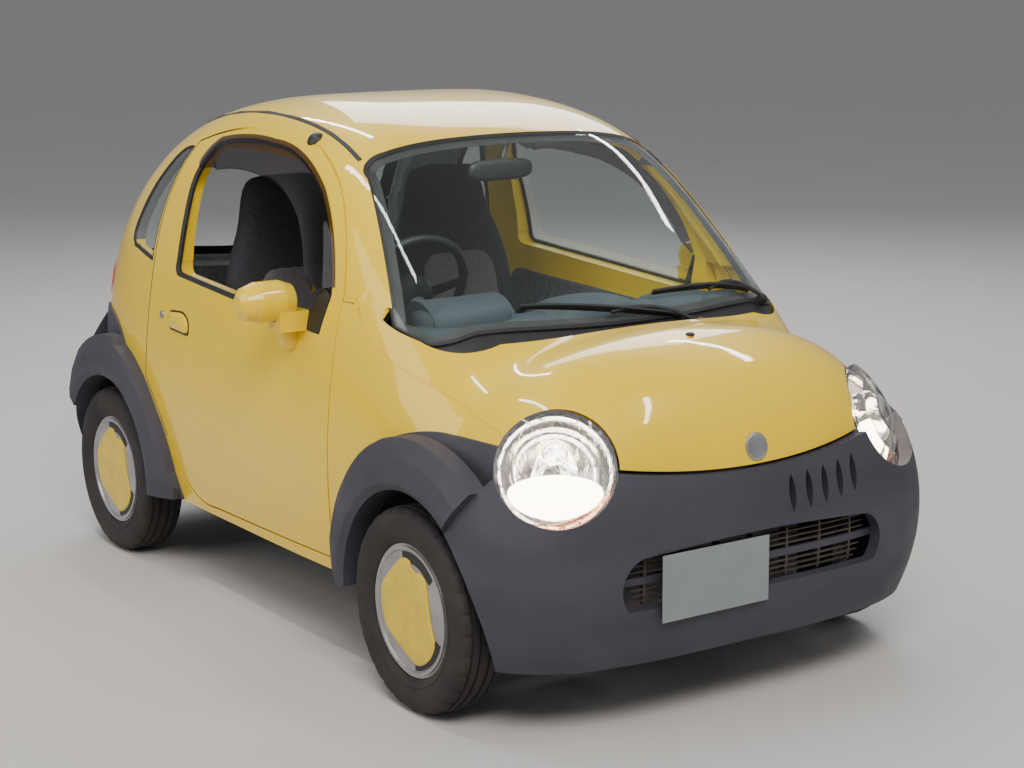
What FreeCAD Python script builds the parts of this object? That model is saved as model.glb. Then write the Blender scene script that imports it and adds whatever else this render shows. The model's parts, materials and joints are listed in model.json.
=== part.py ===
"""Two-seat, three-door city car, built as separate panels, glass, wheels and running gear.

Millimetres. The front points along -Y, up is +Z, and the driver sits on the -X side.
The origin is on the ground under the middle of the car's length.
"""
import FreeCAD, Part
import math
import os

V = FreeCAD.Vector
X_AXIS = V(1, 0, 0)
Y_AXIS = V(0, 1, 0)
Z_AXIS = V(0, 0, 1)
SIDES = (("left", 1), ("right", -1))

# Overall size
half_length = 1367.5
body_half_width = 692.0
flare_half_width = 737.0
roof_height = 1450.0

# The side outlines above the belt line are drawn for this roof height
belt_z = 868.0
drawn_roof_height = 1450.0


def upper(z):
    """A drawn height above the belt line, kept in proportion to the real roof height."""
    return belt_z + (z - belt_z) * (roof_height - belt_z) / (drawn_roof_height - belt_z)


# Wheels and tracks
front_axle_y = -875.0
rear_axle_y = 925.0
front_track = 1310.0
rear_track = 1290.0
tyre_radius = 260.0
tyre_width = 135.0
rim_radius = 152.0
rim_width = 104.0
arch_radius = 303.0

# Gaps
shut_gap = 6.0
seat_gap = 0.3
glass_thickness = 5.0
glass_inset = 4.0

# Body sides: a shallow waist arc, drawn in toward the nose and the tail
widest_z = 520.0
waist_rounding = 68.0
side_lean = 0.21
taper_start_y = 100.0
nose_taper = 0.17
tail_taper = 0.14
taper_reach = 1450.0
shoulder_power = 5.5

# Roof, tail and windscreen in side view
roof_peak_y = 200.0
roof_front_radius = 1800.0
roof_rise = 750.0
tail_reach = half_length - 217.5
tail_power = 2.2
screen_top_y = -285.0
screen_top_z = upper(1377.0)
screen_run = 565.0
screen_low_z = 908.589575
screen_bow = 1.93e-4
screen_slope = (screen_top_z - screen_low_z - screen_bow * screen_run ** 2) / screen_run
roof_crown = 25.0
crown_width = 600.0
header_blend = 22.0

# Bonnet in side view: a quarter ellipse from the cowl down to the nose
bonnet_start_y = -940.0
bonnet_edge_z = 640.0
bonnet_drop = 272.0
bonnet_reach = half_length - 965.5
bonnet_crown = 60.0
cowl_blend = 16.0
nose_start_y = -700.0
nose_reach = half_length - 725.5
nose_back_reach = 560.0
nose_plan_crown = 120.0
nose_power = 14.0

skin_floor_z = 180.0

# Cutting tools reach this far beyond the body on every side
side_reach = 900.0
end_reach = half_length + 132.5
top_reach = roof_height + 50.0


def smooth_min(a, b, blend):
    low = min(a, b)
    return low - blend * math.log(math.exp((low - a) / blend) + math.exp((low - b) / blend))


def side_share(x, y, z):
    """Distance from the middle plane as a share of the body's half width there."""
    lean = math.hypot(waist_rounding, side_lean * (z - widest_z)) - waist_rounding
    ahead = max(taper_start_y - y, 0) / taper_reach
    behind = max(y - taper_start_y, 0) / taper_reach
    taper = 1 - nose_taper * ahead ** 3 - tail_taper * behind ** 3
    return abs(x) / ((body_half_width - lean) * taper)


def screen_and_roof(y):
    back = y - screen_top_y
    screen = screen_top_z + screen_slope * back - screen_bow * back * back
    roof = roof_height - max(roof_peak_y - y, 0) ** 2 / (2 * roof_front_radius)
    return smooth_min(screen, roof, header_blend)


def cabin_form(x, y, z):
    """Below 0 inside the cabin's outer skin, above 0 outside."""
    base_z = roof_height - roof_rise
    if y > roof_peak_y:
        tail = (y - roof_peak_y) / tail_reach
        top = max(z - base_z, 0) / roof_rise
        share = (tail ** tail_power + top ** tail_power) ** (1 / tail_power)
    else:
        crown = roof_crown * (x / crown_width) ** 2
        share = max(1 + (z - screen_and_roof(y) + crown) / roof_rise, 0)
    side = side_share(x, y, z)
    return (side ** shoulder_power + share ** shoulder_power) ** (1 / shoulder_power) - 1


def nose_form(x, y, z):
    """Below 0 inside the nose's outer skin: bonnet, wings and front end."""
    drop = min(max(bonnet_start_y - y, 0) / bonnet_reach, 0.9999)
    rise = bonnet_drop * math.sqrt(1 - drop * drop)
    bonnet_z = bonnet_edge_z + rise - bonnet_crown * (x / crown_width) ** 2
    top_z = -smooth_min(-bonnet_z, -screen_and_roof(y), cowl_blend) - roof_crown * (x / crown_width) ** 2
    share = max(1 + (z - top_z) / roof_rise, 0)
    side = side_share(x, y, z)
    around = (side ** shoulder_power + share ** shoulder_power) ** (1 / shoulder_power)
    reach = nose_reach - nose_plan_crown * (x / crown_width) ** 2
    along = (nose_start_y - y) / reach if y < nose_start_y else (y - nose_start_y) / nose_back_reach
    return (around ** nose_power + along ** nose_power) ** (1 / nose_power) - 1


# A skin is drawn through points on rays that fan out from a spine along the floor.
# name: form, spine middle, spine travel per degree, ray angles across, ray angles along
SKINS = {
    "cabin": (cabin_form, 100.0, 6.2, (0, 8, 15, 20, 24, 28, 33, 40, 50, 62, 76, 90),
              (-90, -76, -64, -52, -42, -34, -26, -16, 0, 16, 32, 46, 60, 74, 90)),
    "nose": (nose_form, -700.0, 3.0, (0, 10, 20, 28, 34, 39, 44, 50, 58, 68, 79, 90),
             (-90, -80, -70, -61, -53, -46, -38, -28, -19, -11, -4, 3, 10, 20, 35, 55, 90)),
}
solved_skins = {}


def skin_point(form, spine_y, across, along, inset):
    """The point where a ray leaves the form, moved inward by the inset."""
    a = math.radians(across)
    b = math.radians(along)
    ray = V(math.sin(a), math.sin(b), math.cos(a) * math.cos(b)).normalize()
    start = V(0, spine_y, skin_floor_z)
    near = 10.0
    far = 2500.0
    for _ in range(45):
        middle = (near + far) / 2
        p = start + ray * middle
        if form(p.x, p.y, p.z) < 0:
            near = middle
        else:
            far = middle
    p = start + ray * near
    step = 0.5
    slope = V(
        form(p.x + step, p.y, p.z) - form(p.x - step, p.y, p.z),
        form(p.x, p.y + step, p.z) - form(p.x, p.y - step, p.z),
        form(p.x, p.y, p.z + step) - form(p.x, p.y, p.z - step),
    )
    if abs(across) == 90 or abs(along) == 90:
        slope.z = 0
    return p - slope.normalize() * inset


def skin(name, inset=0.0):
    """A closed solid under one outer skin, this much smaller all round."""
    if (name, inset) not in solved_skins:
        form, middle_y, travel, half_across, angles_along = SKINS[name]
        angles_across = [-a for a in half_across[:0:-1]] + list(half_across)
        rows = []
        for along in angles_along:
            spine_y = middle_y + travel * along
            rows.append([skin_point(form, spine_y, across, along, inset) for across in angles_across])
        surface = Part.BSplineSurface()
        surface.interpolate(rows)
        top = surface.toShape()
        floor = Part.Face(Part.Wire(Part.__sortEdges__(top.Edges)))
        solved_skins[(name, inset)] = Part.makeSolid(Part.makeShell([top, floor]))
    return solved_skins[(name, inset)].copy()


def box(x0, x1, y0, y1, z0, z1):
    return Part.makeBox(x1 - x0, y1 - y0, z1 - z0, V(x0, y0, z0))


def mirrored(shape):
    return shape.mirror(V(0, 0, 0), X_AXIS)


def on_side(shape, side):
    """A piece drawn on the left, or its mirror image on the right."""
    return shape if side > 0 else mirrored(shape)


def both_sides(shape):
    return Part.makeCompound([shape, mirrored(shape)])


def outline(steps, place):
    """A closed wire. Each step is a corner, or an arc given as (through, end)."""
    start = steps[0]
    edges = []
    here = start
    for step in list(steps[1:]) + [start]:
        if isinstance(step[0], tuple):
            through, end = step
            edges.append(Part.Arc(place(here), place(through), place(end)).toShape())
            here = end
        elif step != here:
            edges.append(Part.LineSegment(place(here), place(step)).toShape())
            here = step
    return Part.Wire(edges)


def side_prism(steps, x0, x1):
    """An outline of (y, z) corners, carried from x0 to x1."""
    wire = outline(steps, lambda p: V(x0, p[0], p[1]))
    return Part.Face(wire).extrude(V(x1 - x0, 0, 0))


def front_prism(steps, y0, y1):
    """An outline of (x, z) corners, carried from y0 to y1."""
    wire = outline(steps, lambda p: V(p[0], y0, p[1]))
    return Part.Face(wire).extrude(V(0, y1 - y0, 0))


def plan_prism(steps, z0, z1):
    """An outline of (x, y) corners, carried from z0 to z1."""
    wire = outline(steps, lambda p: V(p[0], p[1], z0))
    return Part.Face(wire).extrude(V(0, 0, z1 - z0))


def disc_across(x0, x1, y, z, radius):
    """A cylinder along X."""
    return Part.makeCylinder(radius, x1 - x0, V(x0, y, z), X_AXIS)


def grown(steps, amount):
    """The same outline with every point moved out from its middle."""
    flat = []
    for step in steps:
        flat.extend(step if isinstance(step[0], tuple) else [step])
    mid_u = (min(p[0] for p in flat) + max(p[0] for p in flat)) / 2
    mid_v = (min(p[1] for p in flat) + max(p[1] for p in flat)) / 2

    def move(p):
        away = math.hypot(p[0] - mid_u, p[1] - mid_v)
        scale = (away + amount) / away
        return (mid_u + (p[0] - mid_u) * scale, mid_v + (p[1] - mid_v) * scale)

    return [tuple(move(p) for p in step) if isinstance(step[0], tuple) else move(step) for step in steps]


# Outlines in side view (y, z)
door_front_y = -432.0
door_rear_y = 694.0
door_bottom_z = 275.0
door_outline = [
    (door_front_y, door_bottom_z + 9.0),
    (door_front_y, 975.0),
    ((-374.0, upper(1118.0)), (-258.0, upper(1249.0))),
    ((-90.0, upper(1329.0)), (130.0, upper(1360.0))),
    ((370.0, upper(1353.0)), (592.0, upper(1306.0))),
    ((668.0, upper(1140.0)), (door_rear_y, 954.0)),
    (door_rear_y, 596.0),
    ((614.0, 520.0), (545.0, 440.0)),
    ((505.0, 386.0), (462.0, 344.0)),
    ((388.0, 291.0), (265.0, door_bottom_z)),
]
window_outline = [
    (-352.0, belt_z),
    (-383.0, 975.0),
    ((-325.0, upper(1106.0)), (-215.0, upper(1226.0))),
    ((-50.0, upper(1303.0)), (130.0, upper(1331.0))),
    ((320.0, upper(1333.0)), (440.0, upper(1318.0))),
    ((500.0, upper(1268.0)), (533.0, upper(1150.0))),
    (533.0, 962.0),
    ((530.0, 934.0), (505.0, 921.0)),
]
quarter_outline = [
    (709.0, 942.0),
    ((685.0, upper(1130.0)), (612.0, upper(1292.0))),
    ((700.0, upper(1279.0)), (761.0, upper(1237.0))),
    ((855.0, upper(1142.0)), (922.0, upper(1028.0))),
    ((920.0, upper(990.0)), (870.0, upper(966.0))),
]

# The door's inner face, as one section carried along the car
wall_thickness = 42.0
cabin_inner_x = 300.0
door_inside_front = [
    (cabin_inner_x, 200.0),
    (622.0, 200.0),
    ((632.0, 520.0), (590.0, 905.0)),
    ((560.0, upper(1120.0)), (468.0, upper(1345.0))),
    (cabin_inner_x, upper(1400.0)),
]


# Windscreen and rear glass, drawn flat across their own slope
screen_foot_y = -850.0
screen_foot_z = 903.0
screen_head_y = -292.0
screen_head_z = upper(1366.0)
screen_half_foot = 596.0
screen_half_head = 486.0


def sloped_prism(foot, head, half_foot, half_head, corner_foot, corner_head, depth):
    """A trapezium with bowed ends from foot (y, z) to head (y, z), carried both ways along its normal."""
    run = V(0, head[0] - foot[0], head[1] - foot[1])
    height = run.Length
    up = V(run).normalize()
    out = up.cross(X_AXIS)
    origin = V(0, foot[0], foot[1])

    def place(p):
        return origin + X_AXIS * p[0] + up * p[1] - out * depth

    corners = [
        (-half_foot + corner_foot, 0.0 + corner_foot * 0.35),
        ((0.0, 0.0), (half_foot - corner_foot, corner_foot * 0.35)),
        ((half_foot - corner_foot * 0.18, corner_foot * 0.62), (half_foot, corner_foot * 1.4)),
        (half_head, height - corner_head * 1.3),
        ((half_head - corner_head * 0.3, height - corner_head * 0.5),
         (half_head - corner_head * 1.1, height - corner_head * 0.25)),
        ((0.0, height), (-half_head + corner_head * 1.1, height - corner_head * 0.25)),
        ((-half_head + corner_head * 0.3, height - corner_head * 0.5),
         (-half_head, height - corner_head * 1.3)),
        (-half_foot, corner_foot * 1.4),
        ((-half_foot + corner_foot * 0.18, corner_foot * 0.62),
         (-half_foot + corner_foot, corner_foot * 0.35)),
    ]
    return Part.Face(outline(corners, place)).extrude(out * 2 * depth)


def screen_prism(shrink=0.0):
    return sloped_prism(
        (screen_foot_y + shrink * 0.77, screen_foot_z + shrink * 0.64),
        (screen_head_y - shrink * 0.77, screen_head_z - shrink * 0.64),
        screen_half_foot - shrink, screen_half_head - shrink, 130.0, 70.0, 230.0)


scuttle_outline = [
    (606.0, -200.0),
    (606.0, -540.0),
    ((600.0, -640.0), (574.0, -725.0)),
    ((520.0, -806.0), (413.0, -845.0)),
    ((0.0, -915.0), (-413.0, -845.0)),
    ((-520.0, -806.0), (-574.0, -725.0)),
    ((-600.0, -640.0), (-606.0, -540.0)),
    (-606.0, -200.0),
]


def scuttle_prism(shrink):
    """The opening ahead of the windscreen, filled by its glass and the dark strip below it."""
    return plan_prism(grown(scuttle_outline, -shrink), 700.0, top_reach)


hatch_foot_y = half_length - 25.5
hatch_foot_z = 870.0
hatch_head_y = 812.0
hatch_head_z = upper(1358.0)
hatch_half_foot = 500.0
hatch_half_head = 430.0


def hatch_prism(shrink=0.0):
    return sloped_prism(
        (hatch_foot_y - shrink * 0.74, hatch_foot_z + shrink * 0.68),
        (hatch_head_y + shrink * 0.74, hatch_head_z - shrink * 0.68),
        hatch_half_foot - shrink, hatch_half_head - shrink, 90.0, 90.0, -230.0)


# Headlamps: round units that look out and up
lamp_radius = 146.0
lamp_centre = V(507.0, 159.5 - half_length, 650.0)
lamp_axis = V(0.497, -0.759, 0.423).normalize()
lamp_bulge = 46.0
lamp_depth = 96.0
lamp_wall = 4.0
lens_seat = -4.0


def lamp_room(clearance):
    """A cylinder along the left lamp's axis, through everything in front of and behind it."""
    behind = 170.0
    return Part.makeCylinder(lamp_radius + clearance, 420.0, lamp_centre - lamp_axis * behind, lamp_axis)


def lamp_hole():
    return lamp_room(seat_gap)


def lamp_turned(steps):
    """A solid turned about the left lamp's axis from (radius, along) corners and arcs."""
    lamp_side = lamp_axis.cross(X_AXIS).normalize()
    wire = outline(steps, lambda p: lamp_centre + lamp_side * p[0] + lamp_axis * p[1])
    return Part.Face(wire).revolve(lamp_centre, lamp_axis, 360)


def lamp_bowl():
    """The reflector behind a lens, open to the front."""
    back = -lamp_depth
    wall = lamp_wall
    return lamp_turned([
        (0.0, back), (62.0, back), (112.0, -66.0), (lamp_radius, -22.0), (lamp_radius, lens_seat),
        (lamp_radius - wall, lens_seat), (lamp_radius - wall, -22.0 + wall), (112.0 - wall, -66.0 + wall),
        (62.0 - wall, back + wall), (0.0, back + wall),
    ])


lens_edge = 6.0
lens_rise = lamp_bulge - lens_edge
lens_sphere = (lamp_radius ** 2 + lens_rise ** 2) / (2 * lens_rise)


def dome_point(radius, inset):
    """A point of the lens's sphere, or of the one inside it, as (radius, along)."""
    return (radius, lamp_bulge - lens_sphere + math.sqrt((lens_sphere - inset) ** 2 - radius ** 2))


def lamp_lens():
    """The clear dome over a bowl."""
    inner = lamp_radius - lamp_wall
    half_way = lamp_radius * 0.6
    return lamp_turned([
        (lamp_radius, lens_seat), dome_point(lamp_radius, 0.0),
        (dome_point(half_way, 0.0), dome_point(0.0, 0.0)), dome_point(0.0, lamp_wall),
        dome_point(50.0, lamp_wall), dome_point(100.0, lamp_wall), dome_point(inner, lamp_wall),
        (inner, lens_seat),
    ])


# Bumpers: plan outlines stacked upward and lofted
front_plate_x = -147.0
front_plate_y = -half_length - 0.5
front_plate_z = 284.0
plate_thickness = 2.0
bumper_power = 3.3
bumper_wall = 34.0
bumper_front_y = -960.0
bumper_rear_y = 1010.0
bumper_levels = (150.0, 290.0, 410.0, 530.0, 640.0, 760.0)
bumper_bulge = 7.0e-4
bumper_side_bulge = 1.05e-3
bumper_bulge_z = 400.0
bumper_bottom_z = 176.0
bumper_dip_x = 406.0
bumper_dip_z = 646.0
bumper_middle_z = 612.0


def bumper_block(end, start_y, inset):
    """The solid under a bumper's outer face; end is -1 at the front and 1 at the rear."""
    wires = []
    for z in bumper_levels:
        rise = z - bumper_bulge_z
        depth = half_length - bumper_bulge * rise * rise - abs(start_y) - inset
        half_width = flare_half_width - bumper_side_bulge * rise * rise - inset
        points = []
        for degrees in (0, 12, 24, 36, 50, 65, 80, 90, 100, 115, 130, 144, 156, 168, 180):
            c = math.cos(math.radians(degrees))
            s = math.sin(math.radians(degrees))
            x = math.copysign(abs(c) ** (2 / bumper_power), c) * half_width
            y = start_y + end * abs(s) ** (2 / bumper_power) * depth
            points.append(V(x, y, z))
        curve = Part.BSplineCurve()
        curve.interpolate(points)
        closing = Part.LineSegment(points[-1], points[0]).toShape()
        wires.append(Part.Wire([curve.toShape(), closing]))
    return Part.makeLoft(wires, True, False)


bumper_joint_y = -1190.0
bumper_joint_z = 693.0
bumper_joint = [(-end_reach, 100.0), (-end_reach, 760.0), (-1215.0, 760.0), (bumper_joint_y, bumper_joint_z),
                (-1062.0, 505.0), (-1100.0, 260.0), (-1100.0, 100.0)]
mouth_back_y = 167.5 - half_length
slit_half_height = 48.0
slit_half_width = 11.0
slit_centres = ((106.0, 536.0), (162.0, 539.0), (216.0, 543.0), (269.0, 549.0), (320.0, 557.0))


def front_bumper():
    shape = bumper_block(-1, bumper_front_y, 0).cut(bumper_block(-1, bumper_front_y, bumper_wall))
    keep = side_prism(bumper_joint, -side_reach, side_reach)
    top = front_prism([
        (-side_reach, bumper_bottom_z), (-side_reach, 690.0), (-640.0, 684.0), (-bumper_dip_x, bumper_dip_z),
        ((0.0, bumper_middle_z), (bumper_dip_x, bumper_dip_z)),
        (640.0, 684.0), (side_reach, 690.0), (side_reach, bumper_bottom_z),
    ], -end_reach, -900.0)
    shape = shape.common(keep).common(top)
    shape = shape.cut(lamp_hole()).cut(mirrored(lamp_hole()))
    shape = shape.cut(disc_across(-side_reach, side_reach, front_axle_y, tyre_radius, arch_radius))
    mouth = front_prism([
        (-392.0, 318.0), ((-412.0, 385.0), (-360.0, 446.0)),
        ((0.0, 462.0), (360.0, 446.0)), ((412.0, 385.0), (392.0, 318.0)),
    ], -end_reach, mouth_back_y)
    shape = shape.cut(mouth)
    for x, z in slit_centres:
        slit = front_prism([
            (x, z - slit_half_height), ((x + slit_half_width, z), (x, z + slit_half_height)),
            ((x - slit_half_width, z), (x, z - slit_half_height)),
        ], -end_reach, mouth_back_y)
        shape = shape.cut(slit)
    plate_pad = box(-212.0, -82.0, front_plate_y + seat_gap, front_plate_y + 30.0, 288.0, 314.0)
    return shape.fuse(plate_pad)


slat_count = 8
slat_pitch = 14.6
slat_thickness = 3.2
lowest_slat_z = 331.0
slat_half_length = 424.0
slat_front_y = 22.5 - half_length
slat_depth = 27.0
grille_bar_height = 18.0
grille_bar_z = 382.0
rib_thickness = 6.0
rib_pitch = 110.0
rib_count = 7


def grille():
    """Thin slats behind the bumper's mouth, with upright ribs and one thick bar across."""
    bars = []
    for step in range(slat_count):
        z = lowest_slat_z + step * slat_pitch
        bars.append(box(-slat_half_length, slat_half_length, slat_front_y, slat_front_y + slat_depth,
                        z - slat_thickness / 2, z + slat_thickness / 2))
    bar_reach = slat_half_length + 12.0
    bars.append(box(-bar_reach, bar_reach, slat_front_y - 5.0, slat_front_y + 39.0,
                    grille_bar_z - grille_bar_height / 2, grille_bar_z + grille_bar_height / 2))
    for step in range(rib_count):
        x = (step - (rib_count - 1) / 2) * rib_pitch
        bars.append(box(x - rib_thickness / 2, x + rib_thickness / 2, slat_front_y, slat_front_y + 37.0,
                        322.0, 442.0))
    shape = bars[0].multiFuse(bars[1:])
    return biggest(shape.common(bumper_block(-1, bumper_front_y, bumper_wall + seat_gap)))


rear_joint_y = 1180.0
rear_bumper_bottom_z = 200.0
plate_height = 165.0
rear_plate_y = half_length - 15.5
rear_plate_z = 380.0
plate_half_width = 165.0
rear_plate_recess = 13.0


def rear_bumper():
    shape = bumper_block(1, bumper_rear_y, 0).cut(bumper_block(1, bumper_rear_y, bumper_wall))
    keep = box(-side_reach, side_reach, rear_joint_y, end_reach, rear_bumper_bottom_z, 760.0)
    shape = shape.common(keep).common(rear_bumper_zone(seat_gap))
    recess_x = plate_half_width + rear_plate_recess
    shape = shape.cut(box(-recess_x, recess_x, rear_plate_y, end_reach,
                          rear_plate_z - rear_plate_recess + 1.0,
                          rear_plate_z + plate_height + rear_plate_recess))
    return shape.cut(disc_across(-side_reach, side_reach, rear_axle_y, tyre_radius, arch_radius))


# Wheel-arch flares
flare_outer_radius = 430.0
flare_inner_x = 650.0
flare_stands_out = 8.0
house_wall = 5.0
house_outer_x = 640.0
flare_thickness = 18.0
bumper_corner_z = 752.0
front_flare_outline = [
    (bumper_joint_y, bumper_joint_z), (-906.0, 697.0),
    ((-800.0, 688.0), (-706.0, 652.0)), ((-606.0, 590.0), (-548.0, 520.0)),
    ((-505.0, 430.0), (-520.0, 325.0)), (-556.0, 250.0), (-700.0, 250.0), (-1062.0, 400.0), (-1062.0, 505.0),
]
rear_flare_outline = [
    (rear_joint_y - seat_gap, bumper_corner_z), (1060.0, 748.0),
    ((960.0, 722.0), (874.0, 665.0)), ((720.0, 598.0), (618.0, 503.0)),
    ((552.0, 420.0), (518.0, 330.0)), (480.0, 250.0), (900.0, 250.0), (rear_joint_y - seat_gap, 420.0),
]
FLARES = {
    "front": (front_axle_y, front_flare_outline, "nose"),
    "rear": (rear_axle_y, rear_flare_outline, "cabin"),
}


def flare(place):
    """A turned lip round the arch and the skin it grows out of."""
    axle_y, region, skin_name = FLARES[place]
    p = [V(x, 0, r) for x, r in (
        (flare_inner_x, arch_radius), (flare_half_width - 13.0, arch_radius),
        (flare_half_width, arch_radius + 18.0), (flare_half_width, arch_radius + 36.0),
        (flare_half_width - 12.0, arch_radius + 80.0), (flare_half_width - 37.0, flare_outer_radius),
        (flare_inner_x, flare_outer_radius), (flare_inner_x, arch_radius))]
    lip = Part.Face(Part.makePolygon(p)).revolve(V(0, 0, 0), X_AXIS, 360)
    lip.translate(V(0, axle_y, tyre_radius))
    keep = side_prism(region, 560.0, side_reach)
    sheet = skin(skin_name, -flare_stands_out).cut(skin(skin_name, flare_thickness))
    sheet = biggest(sheet.common(keep).cut(disc_across(500.0, side_reach, axle_y, tyre_radius, arch_radius)))
    house_radius = arch_radius + house_wall + seat_gap
    house = disc_across(400.0, house_outer_x + seat_gap, axle_y, tyre_radius, house_radius)
    return biggest(sheet.cut(house).fuse(lip.common(keep)).cut(lamp_hole()))


def body_outer_shell():
    return skin("cabin").cut(skin("cabin", wall_thickness))


roof_half_width = 492.0
wing_top_z = 964.0
sill_bottom_z = 246.0


def roof_zone():
    """The part of the shell that belongs to the roof panel."""
    return plan_prism([
        (-roof_half_width, -420.0), (-roof_half_width, 640.0), ((-460.0, 800.0), (-430.0, 900.0)),
        (430.0, 900.0), ((460.0, 800.0), (roof_half_width, 640.0)), (roof_half_width, -420.0),
    ], upper(1240.0), top_reach)


tail_panel_half_width = 520.0
tail_panel_bottom_z = 566.0
rear_bumper_top = [
    (-side_reach, bumper_corner_z), (-560.0, bumper_corner_z),
    ((-470.0, 700.0), (-410.0, tail_panel_bottom_z)),
    (410.0, tail_panel_bottom_z), ((470.0, 700.0), (560.0, bumper_corner_z)), (side_reach, bumper_corner_z),
]


def side_outline():
    """Sill, rear arch, tail corner and A-pillar foot of a side panel, in (y, z)."""
    radius = arch_radius + 40.0
    below = tyre_radius - sill_bottom_z
    start_y = rear_axle_y - math.sqrt(radius * radius - below * below)
    return [
        (door_front_y, sill_bottom_z),
        (start_y, sill_bottom_z),
        ((rear_axle_y - radius * 0.7071, tyre_radius + radius * 0.7071), (rear_axle_y, tyre_radius + radius)),
        (1100.0, bumper_corner_z),
        (end_reach, bumper_corner_z),
        (end_reach, top_reach),
        (-640.0, top_reach),
        (-640.0, wing_top_z + 2.0),
        (door_front_y, wing_top_z + 2.0),
    ]


def rear_bumper_zone(lower_by):
    """Everything below the rear bumper's upper edge, behind the wheels."""
    steps = []
    for step in rear_bumper_top:
        if isinstance(step[0], tuple):
            steps.append(tuple((x, z - lower_by) for x, z in step))
        else:
            steps.append((step[0], step[1] - lower_by))
    return front_prism(steps + [(side_reach, 100.0), (-side_reach, 100.0)], rear_joint_y, end_reach)


def tail_zone():
    return box(-tail_panel_half_width, tail_panel_half_width, half_length - 167.5, end_reach,
               tail_panel_bottom_z, 1000.0)


def body_panels():
    """Roof, left side and tail panel, all cut from one hollow shell."""
    shell = body_outer_shell()
    roof = shell.common(roof_zone()).cut(screen_prism()).cut(hatch_prism())
    tail = shell.common(tail_zone()).cut(hatch_prism()).cut(rear_bumper_zone(0.0))
    left = shell.common(side_prism(side_outline(), 0.0, side_reach))
    openings = [
        side_prism(grown(door_outline, shut_gap), 0.0, side_reach),
        side_prism(quarter_outline, 0.0, side_reach),
        screen_prism(),
        hatch_prism(),
        roof_zone(),
        tail_zone(),
        side_prism(rear_flare_outline, 0.0, side_reach),
    ]
    for tool in openings:
        left = left.cut(tool)
    pillar, side = sorted(left.Solids, key=lambda s: s.Volume)[-2:]
    lug_start = bonnet_corner_x - 2.0
    lug = disc_across(lug_start, lug_start + 23.0, bonnet_axis_y, bonnet_axis_z, bonnet_lug_radius)
    pillar = pillar.cut(bonnet_corner_sweep()).fuse(lug)
    side = side.cut(rear_bumper_zone(0.0)).cut(tail_lamp_hole(seat_gap))
    tail = tail.cut(tail_lamp_hole(seat_gap)).cut(mirrored(tail_lamp_hole(seat_gap)))
    roof = biggest(roof)
    start = barrel_middle_x - barrel_half
    for sign in (1, -1):
        hollow = hatch_barrel(start - seat_gap, barrel_middle_x + seat_gap, barrel_radius + 1.0)
        knuckle_half = hatch_barrel(barrel_middle_x + seat_gap, barrel_middle_x + barrel_half, barrel_radius)
        if sign < 0:
            hollow = mirrored(hollow)
            knuckle_half = mirrored(knuckle_half)
        roof = roof.cut(hollow).fuse(knuckle_half)
    return roof, biggest(side), biggest(tail), pillar


def biggest(shape):
    return max(shape.Solids, key=lambda s: s.Volume)


def door(side):
    shape = skin("cabin").common(side_prism(door_outline, cabin_inner_x, side_reach))
    shape = shape.cut(front_prism(door_inside_front, door_front_y - 268.0, door_rear_y + 206.0))
    shape = shape.cut(side_prism(window_outline, cabin_inner_x, side_reach)).cut(roof_zone())
    return on_side(biggest(shape), side)


def glass_sheet(prism):
    sheet = skin("cabin", glass_inset).common(prism)
    return sheet.cut(skin("cabin", glass_inset + glass_thickness))


def door_glass():
    return biggest(glass_sheet(side_prism(grown(window_outline, -seat_gap), cabin_inner_x, side_reach)))


def quarter_glass():
    return biggest(glass_sheet(side_prism(grown(quarter_outline, -seat_gap), cabin_inner_x, side_reach)))


def windscreen():
    sheet = glass_sheet(screen_prism(seat_gap).common(scuttle_prism(shut_gap)))
    return biggest(sheet.common(box(-700.0, 700.0, -1000.0, -100.0, 800.0, top_reach)))


hatch_axis_y = 808.0
hatch_axis_z = upper(1363.0)
barrel_radius = 7.0
barrel_middle_x = 300.0
barrel_half = 24.0


def hatch_barrel(x0, x1, radius):
    return disc_across(x0, x1, hatch_axis_y, hatch_axis_z, radius)


def hatch_glass():
    """The rear glass with the outer half of its two hinges."""
    sheet = glass_sheet(hatch_prism(shut_gap))
    shape = biggest(sheet.common(box(-700.0, 700.0, 600.0, end_reach, 700.0, top_reach)))
    start = barrel_middle_x - barrel_half
    barrel = hatch_barrel(start, barrel_middle_x, barrel_radius)
    strap = side_prism([
        (hatch_axis_y, hatch_axis_z + barrel_radius), (hatch_axis_y, hatch_axis_z + 2.0),
        (hatch_axis_y + 54.0, hatch_axis_z - 31.0), (hatch_axis_y + 58.0, hatch_axis_z - 23.0),
    ], start, barrel_middle_x)
    for piece in (barrel, strap):
        shape = shape.fuse(piece).fuse(mirrored(piece))
    return shape


# Bonnet and wings, split along a line over each wing, in side view (y, z)
crease = [
    (-1180.0, 690.0), (-1036.0, 727.0), ((-915.0, 757.0), (-798.0, 803.0)),
    ((-690.0, 838.0), (-595.0, 872.0)), ((-546.0, 912.0), (-494.0, wing_top_z)),
]
panel_thickness = 20.0
bonnet_top_z = wing_top_z - 4.0
bonnet_axis_y = -488.0
bonnet_axis_z = 968.0
bonnet_lug_radius = 12.2
bonnet_swing = 50.0
bonnet_corner_x = 598.0
bonnet_side_z = 700.0


def above_crease(raise_by):
    """Everything over the bonnet's side line."""
    line = []
    for step in crease:
        if isinstance(step[0], tuple):
            line.append(tuple((y, z + raise_by) for y, z in step))
        else:
            line.append((step[0], step[1] + raise_by))
    before = [(-end_reach, 560.0), (-1180.0, 560.0)]
    after = [(-440.0 - raise_by, 1020.0), (-440.0, 1200.0), (-end_reach, 1200.0)]
    return side_prism(before + line + after, -side_reach, side_reach)


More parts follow.
